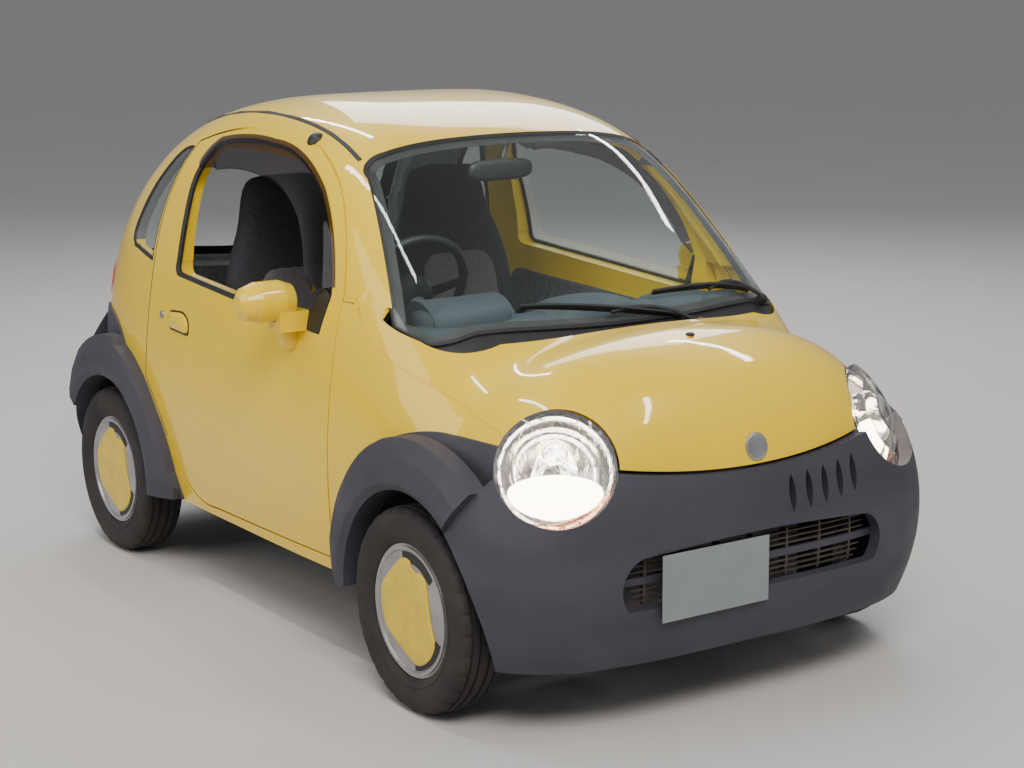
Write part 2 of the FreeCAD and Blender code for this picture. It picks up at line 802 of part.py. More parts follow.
def bonnet_corner_sweep():
    """The room beside a pillar's foot that the bonnet's rear corner swings through."""
    reach = 110.0
    rise = math.radians(bonnet_swing)
    top_y = bonnet_axis_y - reach * math.cos(rise)
    top_z = bonnet_axis_z + reach * math.sin(rise)
    front_y = bonnet_axis_y - 2 * reach
    low_z = wing_top_z - 24.0
    return side_prism([
        (bonnet_axis_y, bonnet_axis_z), (top_y, top_z), (front_y, top_z), (front_y, low_z),
        (bonnet_axis_y, low_z),
    ], bonnet_corner_x, side_reach)


def nose_shell():
    return skin("nose").cut(skin("nose", panel_thickness))


def bonnet():
    shape = nose_shell().common(above_crease(0.0))
    over_bumper = shut_gap + 3.0
    edge = front_prism([
        (-side_reach, bonnet_side_z), (-bumper_dip_x, bumper_dip_z + over_bumper),
        ((0.0, bumper_middle_z + over_bumper), (bumper_dip_x, bumper_dip_z + over_bumper)),
        (side_reach, bonnet_side_z), (side_reach, bonnet_top_z), (-side_reach, bonnet_top_z),
    ], -end_reach, -300.0)
    shape = shape.common(edge).cut(scuttle_prism(0.0))
    hinge_room = bonnet_lug_radius + seat_gap
    shape = shape.cut(disc_across(-side_reach, side_reach, bonnet_axis_y, bonnet_axis_z, hinge_room))
    gap = lamp_room(shut_gap)
    shape = shape.cut(gap).cut(mirrored(gap))
    return biggest(shape)


def wing():
    room = box(cabin_inner_x, flare_half_width + 63.0, 67.5 - half_length, door_front_y - shut_gap,
               sill_bottom_z, wing_top_z)
    shape = nose_shell().common(room)
    shape = shape.cut(above_crease(-shut_gap))
    shape = shape.cut(lamp_hole())
    shape = shape.cut(side_prism(front_flare_outline, cabin_inner_x, side_reach))
    shape = shape.cut(disc_across(cabin_inner_x, side_reach, front_axle_y, tyre_radius, arch_radius + 60.0))
    hinge_room = bonnet_lug_radius + seat_gap
    shape = shape.cut(disc_across(cabin_inner_x, side_reach, bonnet_axis_y, bonnet_axis_z, hinge_room))
    bumper_corner = box(0, side_reach, -end_reach, -1062, 100, 690)
    shape = shape.cut(bumper_block(-1, bumper_front_y, 0).common(bumper_corner))
    return biggest(shape)


def cowl():
    """The dark scuttle between bonnet and windscreen."""
    shape = skin("cabin", 8.0).cut(skin("cabin", 28.0))
    shape = shape.common(scuttle_prism(shut_gap)).cut(screen_prism())
    shape = shape.common(box(-600.0, 600.0, -950.0, -560.0, 780.0, 960.0))
    return biggest(shape)


# Floor, bulkhead and wheelhouses
floor_z = 215.0
floor_thickness = 22.0
rear_floor_z = 340.0
step_y = 540.0
bulkhead_y = -640.0
floor_half_width = 605.0
front_house_x = 432.0
rear_house_x = 545.0


def wheelhouse(axle_y, inner_x, outer_x, trim_front, trim_rear):
    """A half drum over a wheel with a closed inner wall."""
    radius = arch_radius + house_wall
    drum = disc_across(inner_x, outer_x, axle_y, tyre_radius, radius)
    hollow = disc_across(inner_x + house_wall, outer_x + 10.0, axle_y, tyre_radius, arch_radius)
    keep = box(inner_x - 1.0, outer_x, axle_y - radius + trim_front, axle_y + radius - trim_rear,
               floor_z, tyre_radius + radius)
    return drum.cut(hollow).common(keep)


# axle, inner wall, outer edge, shortened in front by, shortened behind by
HOUSES = (
    (front_axle_y, front_house_x, house_outer_x, 30.0, 0.0),
    (rear_axle_y, rear_house_x, house_outer_x, 0.0, 50.0),
)


def floor_pan():
    half = floor_half_width
    floor = box(-half, half, bulkhead_y, step_y, floor_z, floor_z + floor_thickness)
    step = box(-half, half, step_y, step_y + floor_thickness, floor_z, rear_floor_z)
    rear = box(-560.0, 560.0, step_y, half_length - 97.5, rear_floor_z, rear_floor_z + floor_thickness)
    bulkhead = box(-600.0, 600.0, bulkhead_y - floor_thickness, bulkhead_y, floor_z, 790.0)
    shape = floor.multiFuse([step, rear, bulkhead])
    for sign in (1, -1):
        for axle_y, inner_x, outer_x, trim_front, trim_rear in HOUSES:
            hole = disc_across(inner_x + house_wall, side_reach, axle_y, tyre_radius, arch_radius)
            house = wheelhouse(axle_y, inner_x, outer_x, trim_front, trim_rear)
            if sign < 0:
                hole = mirrored(hole)
                house = mirrored(house)
            shape = shape.cut(hole).fuse(house)
    axle_slot = box(-600.0, 600.0, rear_axle_y - 45.0, rear_axle_y + 45.0, 100.0, rear_floor_z - 5.0)
    return shape.cut(axle_slot)


# Wheels
def turned(points, axis_from=V(0, 0, 0)):
    """A solid turned about the X axis from (x, radius) corners and arcs."""
    wire = outline(points, lambda p: V(p[0], 0, p[1]))
    return Part.Face(wire).revolve(axis_from, X_AXIS, 360)


flange_radius = 168.0
shoulder_chamfer = 12.0
hub_face_x = 28.0
hub_bore = 27.0
disc_thickness = 4.0


def tyre():
    """A plain tyre, solid inside."""
    half = tyre_width / 2
    foot = flange_radius + seat_gap
    return turned([
        (-half, foot), (-half, tyre_radius - shoulder_chamfer), (-half + shoulder_chamfer, tyre_radius),
        (half - shoulder_chamfer, tyre_radius), (half, tyre_radius - shoulder_chamfer), (half, foot),
    ])


def rim():
    """Steel rim with its disc and centre bore."""
    edge = rim_width / 2
    inside = rim_radius - 5.0
    face = hub_face_x + disc_thickness
    return turned([
        (-edge, flange_radius), (edge, flange_radius), (edge, inside), (face, inside), (face, hub_bore),
        (hub_face_x, hub_bore), (hub_face_x, inside), (-edge, inside),
    ])


cover_radius = 162.0
cover_back = 44.0
cover_face = 49.0
cover_lobe = 57.0
lobe_radius = 141.0
lobe_flat = 86.0


def wheel_cover():
    """Dished cover with a raised centre that has three flats cut from its rim."""
    seat = rim_width / 2 + seat_gap
    dish = turned([
        (cover_back, 0.0), (cover_back, 142.0), (seat, 142.0), (seat, cover_radius),
        (cover_lobe, cover_radius), (cover_lobe, 150.0), (cover_face, 150.0), (cover_face, 0.0),
    ])
    centre = disc_across(cover_face - 1.0, cover_lobe, 0.0, 0.0, lobe_radius)
    for degrees in (8.0, 128.0, 248.0):
        flat = box(cover_face - 2.0, cover_lobe + 2.0, lobe_flat, 200.0, -200.0, 200.0)
        flat.rotate(V(0, 0, 0), X_AXIS, degrees)
        centre = centre.cut(flat)
    return dish.fuse(centre)


def placed_wheel(shape, side, axle_y, track):
    piece = shape.copy()
    if side < 0:
        piece = mirrored(piece)
    piece.translate(V(side * track / 2, axle_y, tyre_radius))
    return piece


# Steering and suspension
kingpin_x = 596.0
pin_bottom_z = tyre_radius - 92.0
hub_flange_radius = 62.0
hub_flange_thickness = 10.0
pilot_radius = hub_bore - 1.0
pilot_length = 12.0
steering_arm_length = 118.0


def knuckle():
    """Upright with the hub flange that carries the wheel."""
    hub_x = front_track / 2 + hub_face_x - seat_gap
    inside = hub_x - hub_flange_thickness
    flange = disc_across(inside, hub_x, front_axle_y, tyre_radius, hub_flange_radius)
    pilot = disc_across(inside, hub_x + pilot_length, front_axle_y, tyre_radius, pilot_radius)
    barrel = disc_across(kingpin_x - 20.0, inside, front_axle_y, tyre_radius, 34.0)
    pin = Part.makeCylinder(17.0, 200.0, V(kingpin_x, front_axle_y, pin_bottom_z), Z_AXIS)
    arm = box(kingpin_x - 16.0, kingpin_x + 8.0, front_axle_y, front_axle_y + steering_arm_length,
              tyre_radius - 28.0, tyre_radius - 8.0)
    return flange.multiFuse([pilot, barrel, pin, arm])


tow_eye_y = 141.5 - half_length
tow_eye_z = 160.0
tow_eye_bore = 12.0
tow_eye_thickness = 14.0


beam_front_y = front_axle_y + 75.0
beam_rear_y = front_axle_y + 145.0
beam_bottom_z = 172.0
subframe_top_z = 214.0
rail_middle_x = 320.0
rail_half_width = 20.0
arm_root_x = 310.0
arm_root_z = 176.0
arm_tip_z = 142.0
arm_thickness = 18.0
pad_radius = 24.0
pad_bottom_z = 148.0


def arm_end(x, across, z):
    """One end of a subframe arm, as a closed wire."""
    near, far = across
    top = z + arm_thickness
    return Part.makePolygon([V(x, near, z), V(x, far, z), V(x, far, top), V(x, near, top), V(x, near, z)])


def front_subframe():
    """Cross member with an arm out to each upright."""
    beam = box(-330.0, 330.0, beam_front_y, beam_rear_y, beam_bottom_z, subframe_top_z)
    parts = []
    rail = box(rail_middle_x - rail_half_width, rail_middle_x + rail_half_width,
               tow_eye_y + 30.0, beam_rear_y, arm_root_z, subframe_top_z)
    half_eye = tow_eye_thickness / 2
    eye = box(rail_middle_x - half_eye, rail_middle_x + half_eye, tow_eye_y - 16.0, tow_eye_y + 34.0,
              tow_eye_z - 20.0, subframe_top_z - 2.0)
    bore = disc_across(rail_middle_x - 20.0, rail_middle_x + 20.0, tow_eye_y, tow_eye_z, tow_eye_bore)
    parts.extend([rail, mirrored(rail), eye])
    foot = box(300.0, 322.0, beam_front_y + 5.0, beam_rear_y - 5.0, beam_bottom_z, beam_bottom_z + 24.0)
    tip_x = kingpin_x + arm_thickness
    root_y = (beam_front_y + 5.0, beam_rear_y - 5.0)
    tip_y = (front_axle_y - arm_thickness, front_axle_y + arm_thickness)
    arm = Part.makeLoft([
        arm_end(arm_root_x, root_y, arm_root_z),
        arm_end(tip_x, tip_y, arm_tip_z),
    ], True, True)
    pad = Part.makeCylinder(pad_radius, pin_bottom_z - seat_gap - pad_bottom_z,
                            V(kingpin_x, front_axle_y, pad_bottom_z), Z_AXIS)
    for piece in (foot, arm, pad):
        parts.extend([piece, mirrored(piece)])
    return beam.multiFuse(parts).cut(bore)


def rear_axle():
    """Beam axle with trailing arms and hub stubs."""
    hub_x = rear_track / 2 + hub_face_x - seat_gap
    inside = hub_x - hub_flange_thickness
    beam = disc_across(-500.0, 500.0, rear_axle_y, tyre_radius, pilot_radius)
    stub = disc_across(500.0, inside, rear_axle_y, tyre_radius, pilot_radius)
    flange = disc_across(inside, hub_x, rear_axle_y, tyre_radius, hub_flange_radius)
    pilot = disc_across(inside, hub_x + pilot_length, rear_axle_y, tyre_radius, pilot_radius)
    arm_bottom_z = 196.0
    arm = box(440.0, 474.0, step_y + 20.0, rear_axle_y, arm_bottom_z, floor_z - seat_gap)
    drop = box(440.0, 474.0, rear_axle_y - 20.0, rear_axle_y + 20.0, arm_bottom_z, tyre_radius)
    parts = []
    for piece in (stub, flange, pilot, arm, drop):
        parts.extend([piece, mirrored(piece)])
    return beam.multiFuse(parts)


def engine():
    return box(-330.0, 330.0, 237.5 - half_length, front_axle_y + 25.0, subframe_top_z + seat_gap, 640.0)


def exhaust():
    """Pipe from the engine to a silencer across the tail."""
    silencer_y = half_length - 262.5
    pipe_z = 193.0
    pipe = Part.makeCylinder(20.0, 1800.0, V(60.0, beam_rear_y + seat_gap, pipe_z), Y_AXIS)
    silencer = disc_across(-260.0, 160.0, silencer_y, pipe_z, 56.0)
    tail_pipe = Part.makeCylinder(16.0, 250.0, V(-230.0, silencer_y + 5.0, pipe_z - 15.0), Y_AXIS)
    hanger = box(-80.0, -60.0, silencer_y - 15.0, silencer_y + 15.0, 240.0, rear_floor_z - seat_gap)
    return silencer.multiFuse([pipe, tail_pipe, hanger])


# Interior
steering_centre = V(-315.0, -235.0, 930.0)
column_axis = V(0, -math.cos(math.radians(28.0)), -math.sin(math.radians(28.0)))
steering_radius = 182.0
grip_radius = 14.0
hub_start = 8.0
hub_length = 40.0
hood_half_width = 125.0
centre_half_width = 110.0


def steering_wheel():
    section = []
    for degrees in (30, 90, 150, 210, 270, 330, 390):
        angle = math.radians(degrees)
        section.append(V(steering_radius + grip_radius * math.cos(angle), 0, grip_radius * math.sin(angle)))
    rim_ring = Part.Face(Part.makePolygon(section)).revolve(V(0, 0, 0), Z_AXIS, 360)
    hub = Part.makeCylinder(62.0, hub_length, V(0, 0, hub_start), Z_AXIS)
    parts = [hub]
    for degrees in (0.0, 180.0, 270.0):
        spoke = box(50.0, steering_radius, -15.0, 15.0, 4.0, 16.0)
        spoke.rotate(V(0, 0, 0), Z_AXIS, degrees)
        parts.append(spoke)
    shape = rim_ring.multiFuse(parts)
    shape.Placement = FreeCAD.Placement(steering_centre, FreeCAD.Rotation(Z_AXIS, column_axis))
    return shape


def dashboard():
    """The padded top with a hood over the instruments and the steering column below it."""
    top = side_prism([
        (bulkhead_y, 640.0), (bulkhead_y, 872.0), ((-560.0, 900.0), (-470.0, 872.0)),
        ((-425.0, 835.0), (-430.0, 780.0)), (-470.0, 640.0),
    ], -585.0, 585.0)
    hood = side_prism([(-600.0, 860.0), ((-520.0, 950.0), (-410.0, 915.0)), (-440.0, 800.0)],
                      steering_centre.x - hood_half_width, steering_centre.x + hood_half_width)
    middle = side_prism([(bulkhead_y, 560.0), (bulkhead_y, 800.0), (-400.0, 830.0), (-420.0, 560.0)],
                        -centre_half_width, centre_half_width)
    shell = top.fuse(hood).common(skin("cabin", wall_thickness + seat_gap)).fuse(middle)
    column_start = steering_centre + column_axis * (hub_start + hub_length + seat_gap)
    column = Part.makeCylinder(30.0, 150.0, column_start, column_axis)
    return shell.fuse(column)


seat_base_z = floor_z + floor_thickness + seat_gap
seat_inner_x = 62.0
seat_outer_x = 538.0
cushion_bottom_z = 400.0


def seat():
    """A cushion on its frame, and a tall one-piece back."""
    back_outer_x = seat_outer_x - 26.0
    frame = side_prism([
        (-40.0, seat_base_z), (-60.0, cushion_bottom_z), (360.0, cushion_bottom_z), (380.0, seat_base_z),
    ], seat_inner_x + 40.0, seat_outer_x - 40.0)
    cushion = side_prism([
        (-70.0, cushion_bottom_z), ((-118.0, 470.0), (-60.0, 524.0)),
        ((160.0, 500.0), (350.0, 480.0)), (380.0, cushion_bottom_z),
    ], seat_inner_x, seat_outer_x)
    back = side_prism([
        (330.0, 430.0), ((352.0, 700.0), (446.0, upper(960.0))), (482.0, upper(1160.0)),
        ((512.0, upper(1206.0)), (560.0, upper(1184.0))), (545.0, upper(960.0)),
        ((462.0, 690.0), (430.0, 430.0)),
    ], seat_inner_x + 14.0, back_outer_x)
    taper = front_prism([
        (seat_inner_x, 380.0), (seat_inner_x, 860.0), ((150.0, upper(1060.0)), (178.0, upper(1170.0))),
        ((300.0, upper(1224.0)), (410.0, upper(1170.0))), ((440.0, upper(1060.0)), (back_outer_x, 860.0)),
        (back_outer_x, 380.0),
    ], 0.0, 800.0)
    return frame.multiFuse([cushion, back.common(taper)])


mirror_centre = V(752.0, -236.0, 950.0)
mirror_sections = ((-84.0, 24.0), (-74.0, 43.0), (-40.0, 55.0), (28.0, 55.0), (66.0, 42.0), (80.0, 22.0))


def mirror_piece():
    """Door mirror: a rounded housing with a flat back, on a short foot."""
    steps = [(mirror_sections[0][0], 0.0)] + list(mirror_sections) + [(mirror_sections[-1][0], 0.0)]
    shape = turned(steps)
    shape.translate(mirror_centre)
    behind = box(600.0, 900.0, mirror_centre.y + 34.0, mirror_centre.y + 200.0, 800.0, 1100.0)
    shape = shape.cut(behind)
    foot = box(640.0, 735.0, mirror_centre.y - 54.0, mirror_centre.y + 14.0,
               mirror_centre.z - 78.0, mirror_centre.z - 25.0)
    return biggest(shape.fuse(foot).cut(skin("cabin", -seat_gap)))


def number_plates():
    """Blank plates: the front one on its pad, off to the driver's side, and the rear one in its recess."""
    half = plate_half_width
    front = box(front_plate_x - half, front_plate_x + half, front_plate_y - plate_thickness, front_plate_y,
                front_plate_z, front_plate_z + plate_height)
    rear_face = rear_plate_y + seat_gap
    rear = box(-half, half, rear_face, rear_face + plate_thickness, rear_plate_z, rear_plate_z + plate_height)
    return Part.makeCompound([front, rear])


tail_lamp_x = 547.0
tail_lamp_z = 824.0
tail_lamp_width = 90.0
tail_lamp_height = 120.0


def tail_lamp_hole(grow):
    """An upright oval over the bumper's corner."""
    half_width = tail_lamp_width / 2 + grow
    half_height = tail_lamp_height / 2 + grow
    x = tail_lamp_x
    z = tail_lamp_z
    return front_prism([
        (x, z - half_height), ((x - half_width, z), (x, z + half_height)),
        ((x + half_width, z), (x, z - half_height)),
    ], half_length - 247.5, end_reach)


def tail_lamp():
    block = skin("cabin", -4.0).cut(skin("cabin", 40.0))
    return biggest(block.common(tail_lamp_hole(0.0)))


def build():
    """Every node's name and shape."""
    nodes = {}
    roof, side_left, tail, pillar = body_panels()
    nodes["roof_panel"] = roof
    nodes["side_panels"] = both_sides(side_left)
    nodes["tail_panel"] = tail
    nodes["windscreen_pillars"] = both_sides(pillar)
    nodes["floor_pan"] = floor_pan()
    nodes["windscreen"] = windscreen()
    nodes["quarter_glass"] = both_sides(quarter_glass())
    nodes["hatch_glass"] = hatch_glass()
    nodes["bonnet"] = bonnet()
    nodes["front_wings"] = both_sides(wing())
    nodes["cowl"] = cowl()
    nodes["front_bumper"] = front_bumper()
    nodes["rear_bumper"] = rear_bumper()
    nodes["front_flares"] = both_sides(flare("front"))
    nodes["rear_flares"] = both_sides(flare("rear"))
    nodes["grille"] = grille()
    nodes["number_plates"] = number_plates()
    nodes["tail_lamps"] = both_sides(tail_lamp())
    nodes["exhaust"] = exhaust()
    nodes["lamp_bowls"] = both_sides(lamp_bowl())
    nodes["lamp_lenses"] = both_sides(lamp_lens())
    nodes["engine"] = engine()
    nodes["front_subframe"] = front_subframe()
    nodes["rear_axle"] = rear_axle()
    nodes["dashboard"] = dashboard()
    nodes["steering_wheel"] = steering_wheel()
    nodes["door_glass_left"] = door_glass()
    for name, sign in SIDES:
        nodes["door_" + name] = door(sign)
        nodes["mirror_" + name] = on_side(mirror_piece(), sign)
        nodes["knuckle_" + name] = on_side(knuckle(), sign)
        nodes["seat_" + name] = on_side(seat(), sign)
        for place, axle_y, track in (("front", front_axle_y, front_track), ("rear", rear_axle_y, rear_track)):
            nodes["tyre_%s_%s" % (place, name)] = placed_wheel(tyre(), sign, axle_y, track)
            nodes["rim_%s_%s" % (place, name)] = placed_wheel(rim(), sign, axle_y, track)
            nodes["cover_%s_%s" % (place, name)] = placed_wheel(wheel_cover(), sign, axle_y, track)
    return nodes


os.makedirs("parts", exist_ok=True)
for node, shape in build().items():
    shape.exportStep("parts/" + node + ".step")
    print(node, "solids", len(shape.Solids), "valid", shape.isValid(), "litres %.2f" % (shape.Volume / 1e6))
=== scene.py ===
import json
import math
import bmesh
import bpy
from mathutils import Matrix, Vector
from mathutils.bvhtree import BVHTree


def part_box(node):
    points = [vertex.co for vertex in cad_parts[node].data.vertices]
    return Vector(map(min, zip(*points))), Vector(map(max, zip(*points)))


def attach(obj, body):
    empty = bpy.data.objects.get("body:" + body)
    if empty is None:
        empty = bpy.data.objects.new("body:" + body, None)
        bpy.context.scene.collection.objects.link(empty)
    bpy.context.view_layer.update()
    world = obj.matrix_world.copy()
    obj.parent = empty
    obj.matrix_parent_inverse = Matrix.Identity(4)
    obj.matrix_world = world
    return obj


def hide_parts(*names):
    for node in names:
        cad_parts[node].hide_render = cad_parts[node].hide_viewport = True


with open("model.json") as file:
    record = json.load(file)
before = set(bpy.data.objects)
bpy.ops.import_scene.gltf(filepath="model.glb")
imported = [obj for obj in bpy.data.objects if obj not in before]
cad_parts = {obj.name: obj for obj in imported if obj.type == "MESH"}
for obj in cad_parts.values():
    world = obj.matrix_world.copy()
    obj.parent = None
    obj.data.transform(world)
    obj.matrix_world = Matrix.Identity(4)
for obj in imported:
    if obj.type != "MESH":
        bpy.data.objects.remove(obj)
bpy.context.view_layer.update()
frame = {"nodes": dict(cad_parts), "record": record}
nodes = frame["nodes"]

# Lengths are metres in the frame of the CAD: Z up, the nose toward -Y, the car's left side at +X
UP = Vector((0.0, 0.0, 1.0))
LEFT = Vector((1.0, 0.0, 0.0))
RIGHT = Vector((-1.0, 0.0, 0.0))
BACK = Vector((0.0, 1.0, 0.0))
FORWARD = Vector((0.0, -1.0, 0.0))
SIDES = (("left", 1), ("right", -1))

# Materials
EVEN = (1.0, 1.0, 1.0)
NOISE_LOW = 0.3
NOISE_HIGH = 0.7
DARK_STOP = 0.35
LIGHT_STOP = 0.65


def set_inputs(node, values):
    for socket, value in values.items():
        node.inputs[socket].default_value = value


def shader_of(made):
    return made.node_tree.nodes["Principled BSDF"]


def material(name, color, roughness=0.5, metallic=0.0, coat=0.0, coat_roughness=0.03):
    """A new material with its main values."""
    made = bpy.data.materials.new(name)
    made.use_nodes = True
    set_inputs(shader_of(made), {"Base Color": (*color, 1.0), "Roughness": roughness, "Metallic": metallic,
                                 "Coat Weight": coat, "Coat Roughness": coat_roughness})
    return made


def noise_node(made, scale, detail, stretch=EVEN):
    """Noise in the object's own space; a stretch above 1 makes it finer along that axis."""
    tree = made.node_tree
    coords = tree.nodes.new("ShaderNodeTexCoord")
    mapping = tree.nodes.new("ShaderNodeMapping")
    set_inputs(mapping, {"Scale": stretch})
    noise = tree.nodes.new("ShaderNodeTexNoise")
    set_inputs(noise, {"Scale": scale, "Detail": detail})
    tree.links.new(coords.outputs["Object"], mapping.inputs["Vector"])
    tree.links.new(mapping.outputs["Vector"], noise.inputs["Vector"])
    return noise


def mottle(made, scale, light, dark, stretch=EVEN):
    """Base colour that wanders between two tones."""
    tree = made.node_tree
    noise = noise_node(made, scale, 4.0, stretch)
    ramp = tree.nodes.new("ShaderNodeValToRGB")
    ramp.color_ramp.elements[0].position = DARK_STOP
    ramp.color_ramp.elements[0].color = (*dark, 1.0)
    ramp.color_ramp.elements[1].position = LIGHT_STOP
    ramp.color_ramp.elements[1].color = (*light, 1.0)
    tree.links.new(noise.outputs["Fac"], ramp.inputs["Fac"])
    tree.links.new(ramp.outputs["Color"], shader_of(made).inputs["Base Color"])


def vary_roughness(made, scale, low, high):
    """Roughness that wanders between two values."""
    tree = made.node_tree
    noise = noise_node(made, scale, 5.0)
    spread = tree.nodes.new("ShaderNodeMapRange")
    set_inputs(spread, {"From Min": NOISE_LOW, "From Max": NOISE_HIGH, "To Min": low, "To Max": high})
    tree.links.new(noise.outputs["Fac"], spread.inputs["Value"])
    tree.links.new(spread.outputs["Result"], shader_of(made).inputs["Roughness"])


def grain(made, scale, strength, depth=0.001, socket="Normal", stretch=EVEN):
    """A fine bump on the surface or on its clear coat."""
    tree = made.node_tree
    noise = noise_node(made, scale, 3.0, stretch)
    bump = tree.nodes.new("ShaderNodeBump")
    set_inputs(bump, {"Strength": strength, "Distance": depth})
    tree.links.new(noise.outputs["Fac"], bump.inputs["Height"])
    tree.links.new(bump.outputs["Normal"], shader_of(made).inputs[socket])


def clear(name, color, roughness=0.01, ior=1.45, passes=(0.9, 0.95, 0.93)):
    """Glass that lets the lamps' light through to what is behind it."""
    made = material(name, color, roughness)
    tree = made.node_tree
    shader = shader_of(made)
    set_inputs(shader, {"Transmission Weight": 1.0, "IOR": ior})
    through = tree.nodes.new("ShaderNodeBsdfTransparent")
    set_inputs(through, {"Color": (*passes, 1.0)})
    path = tree.nodes.new("ShaderNodeLightPath")
    mix = tree.nodes.new("ShaderNodeMixShader")
    tree.links.new(path.outputs["Is Shadow Ray"], mix.inputs["Fac"])
    tree.links.new(shader.outputs["BSDF"], mix.inputs[1])
    tree.links.new(through.outputs["BSDF"], mix.inputs[2])
    tree.links.new(mix.outputs["Shader"], tree.nodes["Material Output"].inputs["Surface"])
    return made


# Body paint under a clear coat that has a faint orange peel
YELLOW = (0.89, 0.595, 0.005)
yellow = material("yellow paint", YELLOW, 0.38, coat=0.9)
set_inputs(shader_of(yellow), {"Specular IOR Level": 0.22})
mottle(yellow, 1.7, light=YELLOW, dark=(0.85, 0.56, 0.004))
vary_roughness(yellow, 3.0, low=0.3, high=0.42)
grain(yellow, 260.0, 0.035, depth=0.0006, socket="Coat Normal")

# Duller paint on the wheel covers
COVER_YELLOW = (0.76, 0.54, 0.022)
cover_yellow = material("cover paint", COVER_YELLOW, 0.45, coat=0.3, coat_roughness=0.15)
mottle(cover_yellow, 22.0, light=COVER_YELLOW, dark=(0.66, 0.46, 0.02))

# Plastics and rubbers
bumper_grey = material("bumper plastic", (0.042, 0.04, 0.055), 0.6)
mottle(bumper_grey, 2.6, light=(0.048, 0.046, 0.062), dark=(0.037, 0.035, 0.049),
       stretch=(1.0, 1.0, 3.0))
vary_roughness(bumper_grey, 14.0, low=0.5, high=0.68)
grain(bumper_grey, 900.0, 0.25, depth=0.0008)
black = material("black plastic", (0.013, 0.013, 0.015), 0.45)
mottle(black, 20.0, light=(0.016, 0.016, 0.018), dark=(0.01, 0.01, 0.012))
grain(black, 700.0, 0.2, depth=0.0006)
seal = material("black rubber", (0.014, 0.013, 0.014), 0.55)
mottle(seal, 30.0, light=(0.018, 0.017, 0.018), dark=(0.011, 0.01, 0.011))
rubber = material("tyre rubber", (0.02, 0.018, 0.018), 0.8)
mottle(rubber, 9.0, light=(0.03, 0.026, 0.025), dark=(0.016, 0.014, 0.014))
grain(rubber, 420.0, 0.3, depth=0.0008)
slat_brown = material("grille plastic", (0.06, 0.046, 0.04), 0.55)
mottle(slat_brown, 30.0, light=(0.075, 0.058, 0.05), dark=(0.045, 0.034, 0.03))
grain(slat_brown, 500.0, 0.25, depth=0.0008)
dash = material("dash plastic", (0.035, 0.046, 0.06), 0.7)
mottle(dash, 10.0, light=(0.04, 0.053, 0.068), dark=(0.03, 0.04, 0.053))
grain(dash, 600.0, 0.35, depth=0.0008)

# Glass and lenses
glass = clear("glass", (0.88, 0.93, 0.9))
tinted = clear("smoked plastic", (0.3, 0.25, 0.28), 0.04, ior=1.3, passes=(0.3, 0.26, 0.28))
lens = clear("lens", (0.97, 0.97, 0.96), 0.02, ior=1.35, passes=(0.97, 0.97, 0.96))
indicator = clear("indicator lens", (0.95, 0.52, 0.36), 0.08, ior=1.3, passes=(0.9, 0.5, 0.4))
red_lens = material("tail lens", (0.42, 0.01, 0.012), 0.12, coat=0.8)
amber_lens = material("amber lens", (0.55, 0.16, 0.015), 0.12, coat=0.8)
reversing_lens = material("reversing lens", (0.62, 0.58, 0.56), 0.15, coat=0.8)
for ribbed in (red_lens, amber_lens, reversing_lens):
    grain(ribbed, 90.0, 0.25, depth=0.002)

# Metals
chrome = material("reflector", (0.8, 0.79, 0.78), 0.14, metallic=1.0)
grain(chrome, 70.0, 0.5, depth=0.004, stretch=(1.0, 1.0, 0.15))
steel = material("wheel steel", (0.4, 0.39, 0.4), 0.36, metallic=0.85)
mottle(steel, 16.0, light=(0.46, 0.45, 0.46), dark=(0.33, 0.32, 0.33))
vary_roughness(steel, 30.0, low=0.3, high=0.46)
chassis = material("chassis", (0.02, 0.02, 0.02), 0.6)
mottle(chassis, 12.0, light=(0.03, 0.027, 0.025), dark=(0.014, 0.014, 0.014))
cast = material("cast metal", (0.16, 0.16, 0.17), 0.5, metallic=0.6)
mottle(cast, 18.0, light=(0.2, 0.19, 0.19), dark=(0.11, 0.11, 0.12))
plate = material("plate", (0.215, 0.245, 0.235), 0.5)
mottle(plate, 12.0, light=(0.225, 0.255, 0.245), dark=(0.205, 0.235, 0.225))
mirror_glass = material("mirror glass", (0.75, 0.78, 0.8), 0.03, metallic=1.0)

# Cloths of the cabin
fabric = material("seat fabric", (0.028, 0.028, 0.036), 0.92)
mottle(fabric, 140.0, light=(0.036, 0.036, 0.046), dark=(0.022, 0.022, 0.028))
grain(fabric, 900.0, 0.5)
centre_cloth = material("seat centre cloth", (0.13, 0.12, 0.12), 0.92)
mottle(centre_cloth, 160.0, light=(0.16, 0.15, 0.15), dark=(0.1, 0.095, 0.1))
grain(centre_cloth, 1000.0, 0.5)
trim_cloth = material("cabin lining", (0.1, 0.1, 0.11), 0.9)
mottle(trim_cloth, 60.0, light=(0.12, 0.12, 0.13), dark=(0.08, 0.08, 0.09))

# The part of a head lamp that shines
lit = material("lit lamp", (0.9, 0.9, 0.88), 0.4)
set_inputs(shader_of(lit), {"Emission Color": (1.0, 0.84, 0.6, 1.0), "Emission Strength": 14.0})

FINISHES = {
    "body_paint": yellow, "underbody": chassis, "clear_glass": glass, "black_plastic": black,
    "bumper_plastic": bumper_grey, "lamp_lens": lens, "lamp_reflector": chrome, "tail_lens": red_lens,
    "cast_metal": cast, "chassis_metal": chassis, "dash_plastic": dash, "seat_fabric": fabric,
    "plate_paint": plate, "tyre_rubber": rubber, "wheel_steel": steel, "cover_paint": cover_yellow,
}
for part in frame["record"]["subparts"]:
    mesh = nodes[part["node"]].data
    mesh.materials.clear()
    mesh.materials.append(FINISHES[part["material_slot"]])

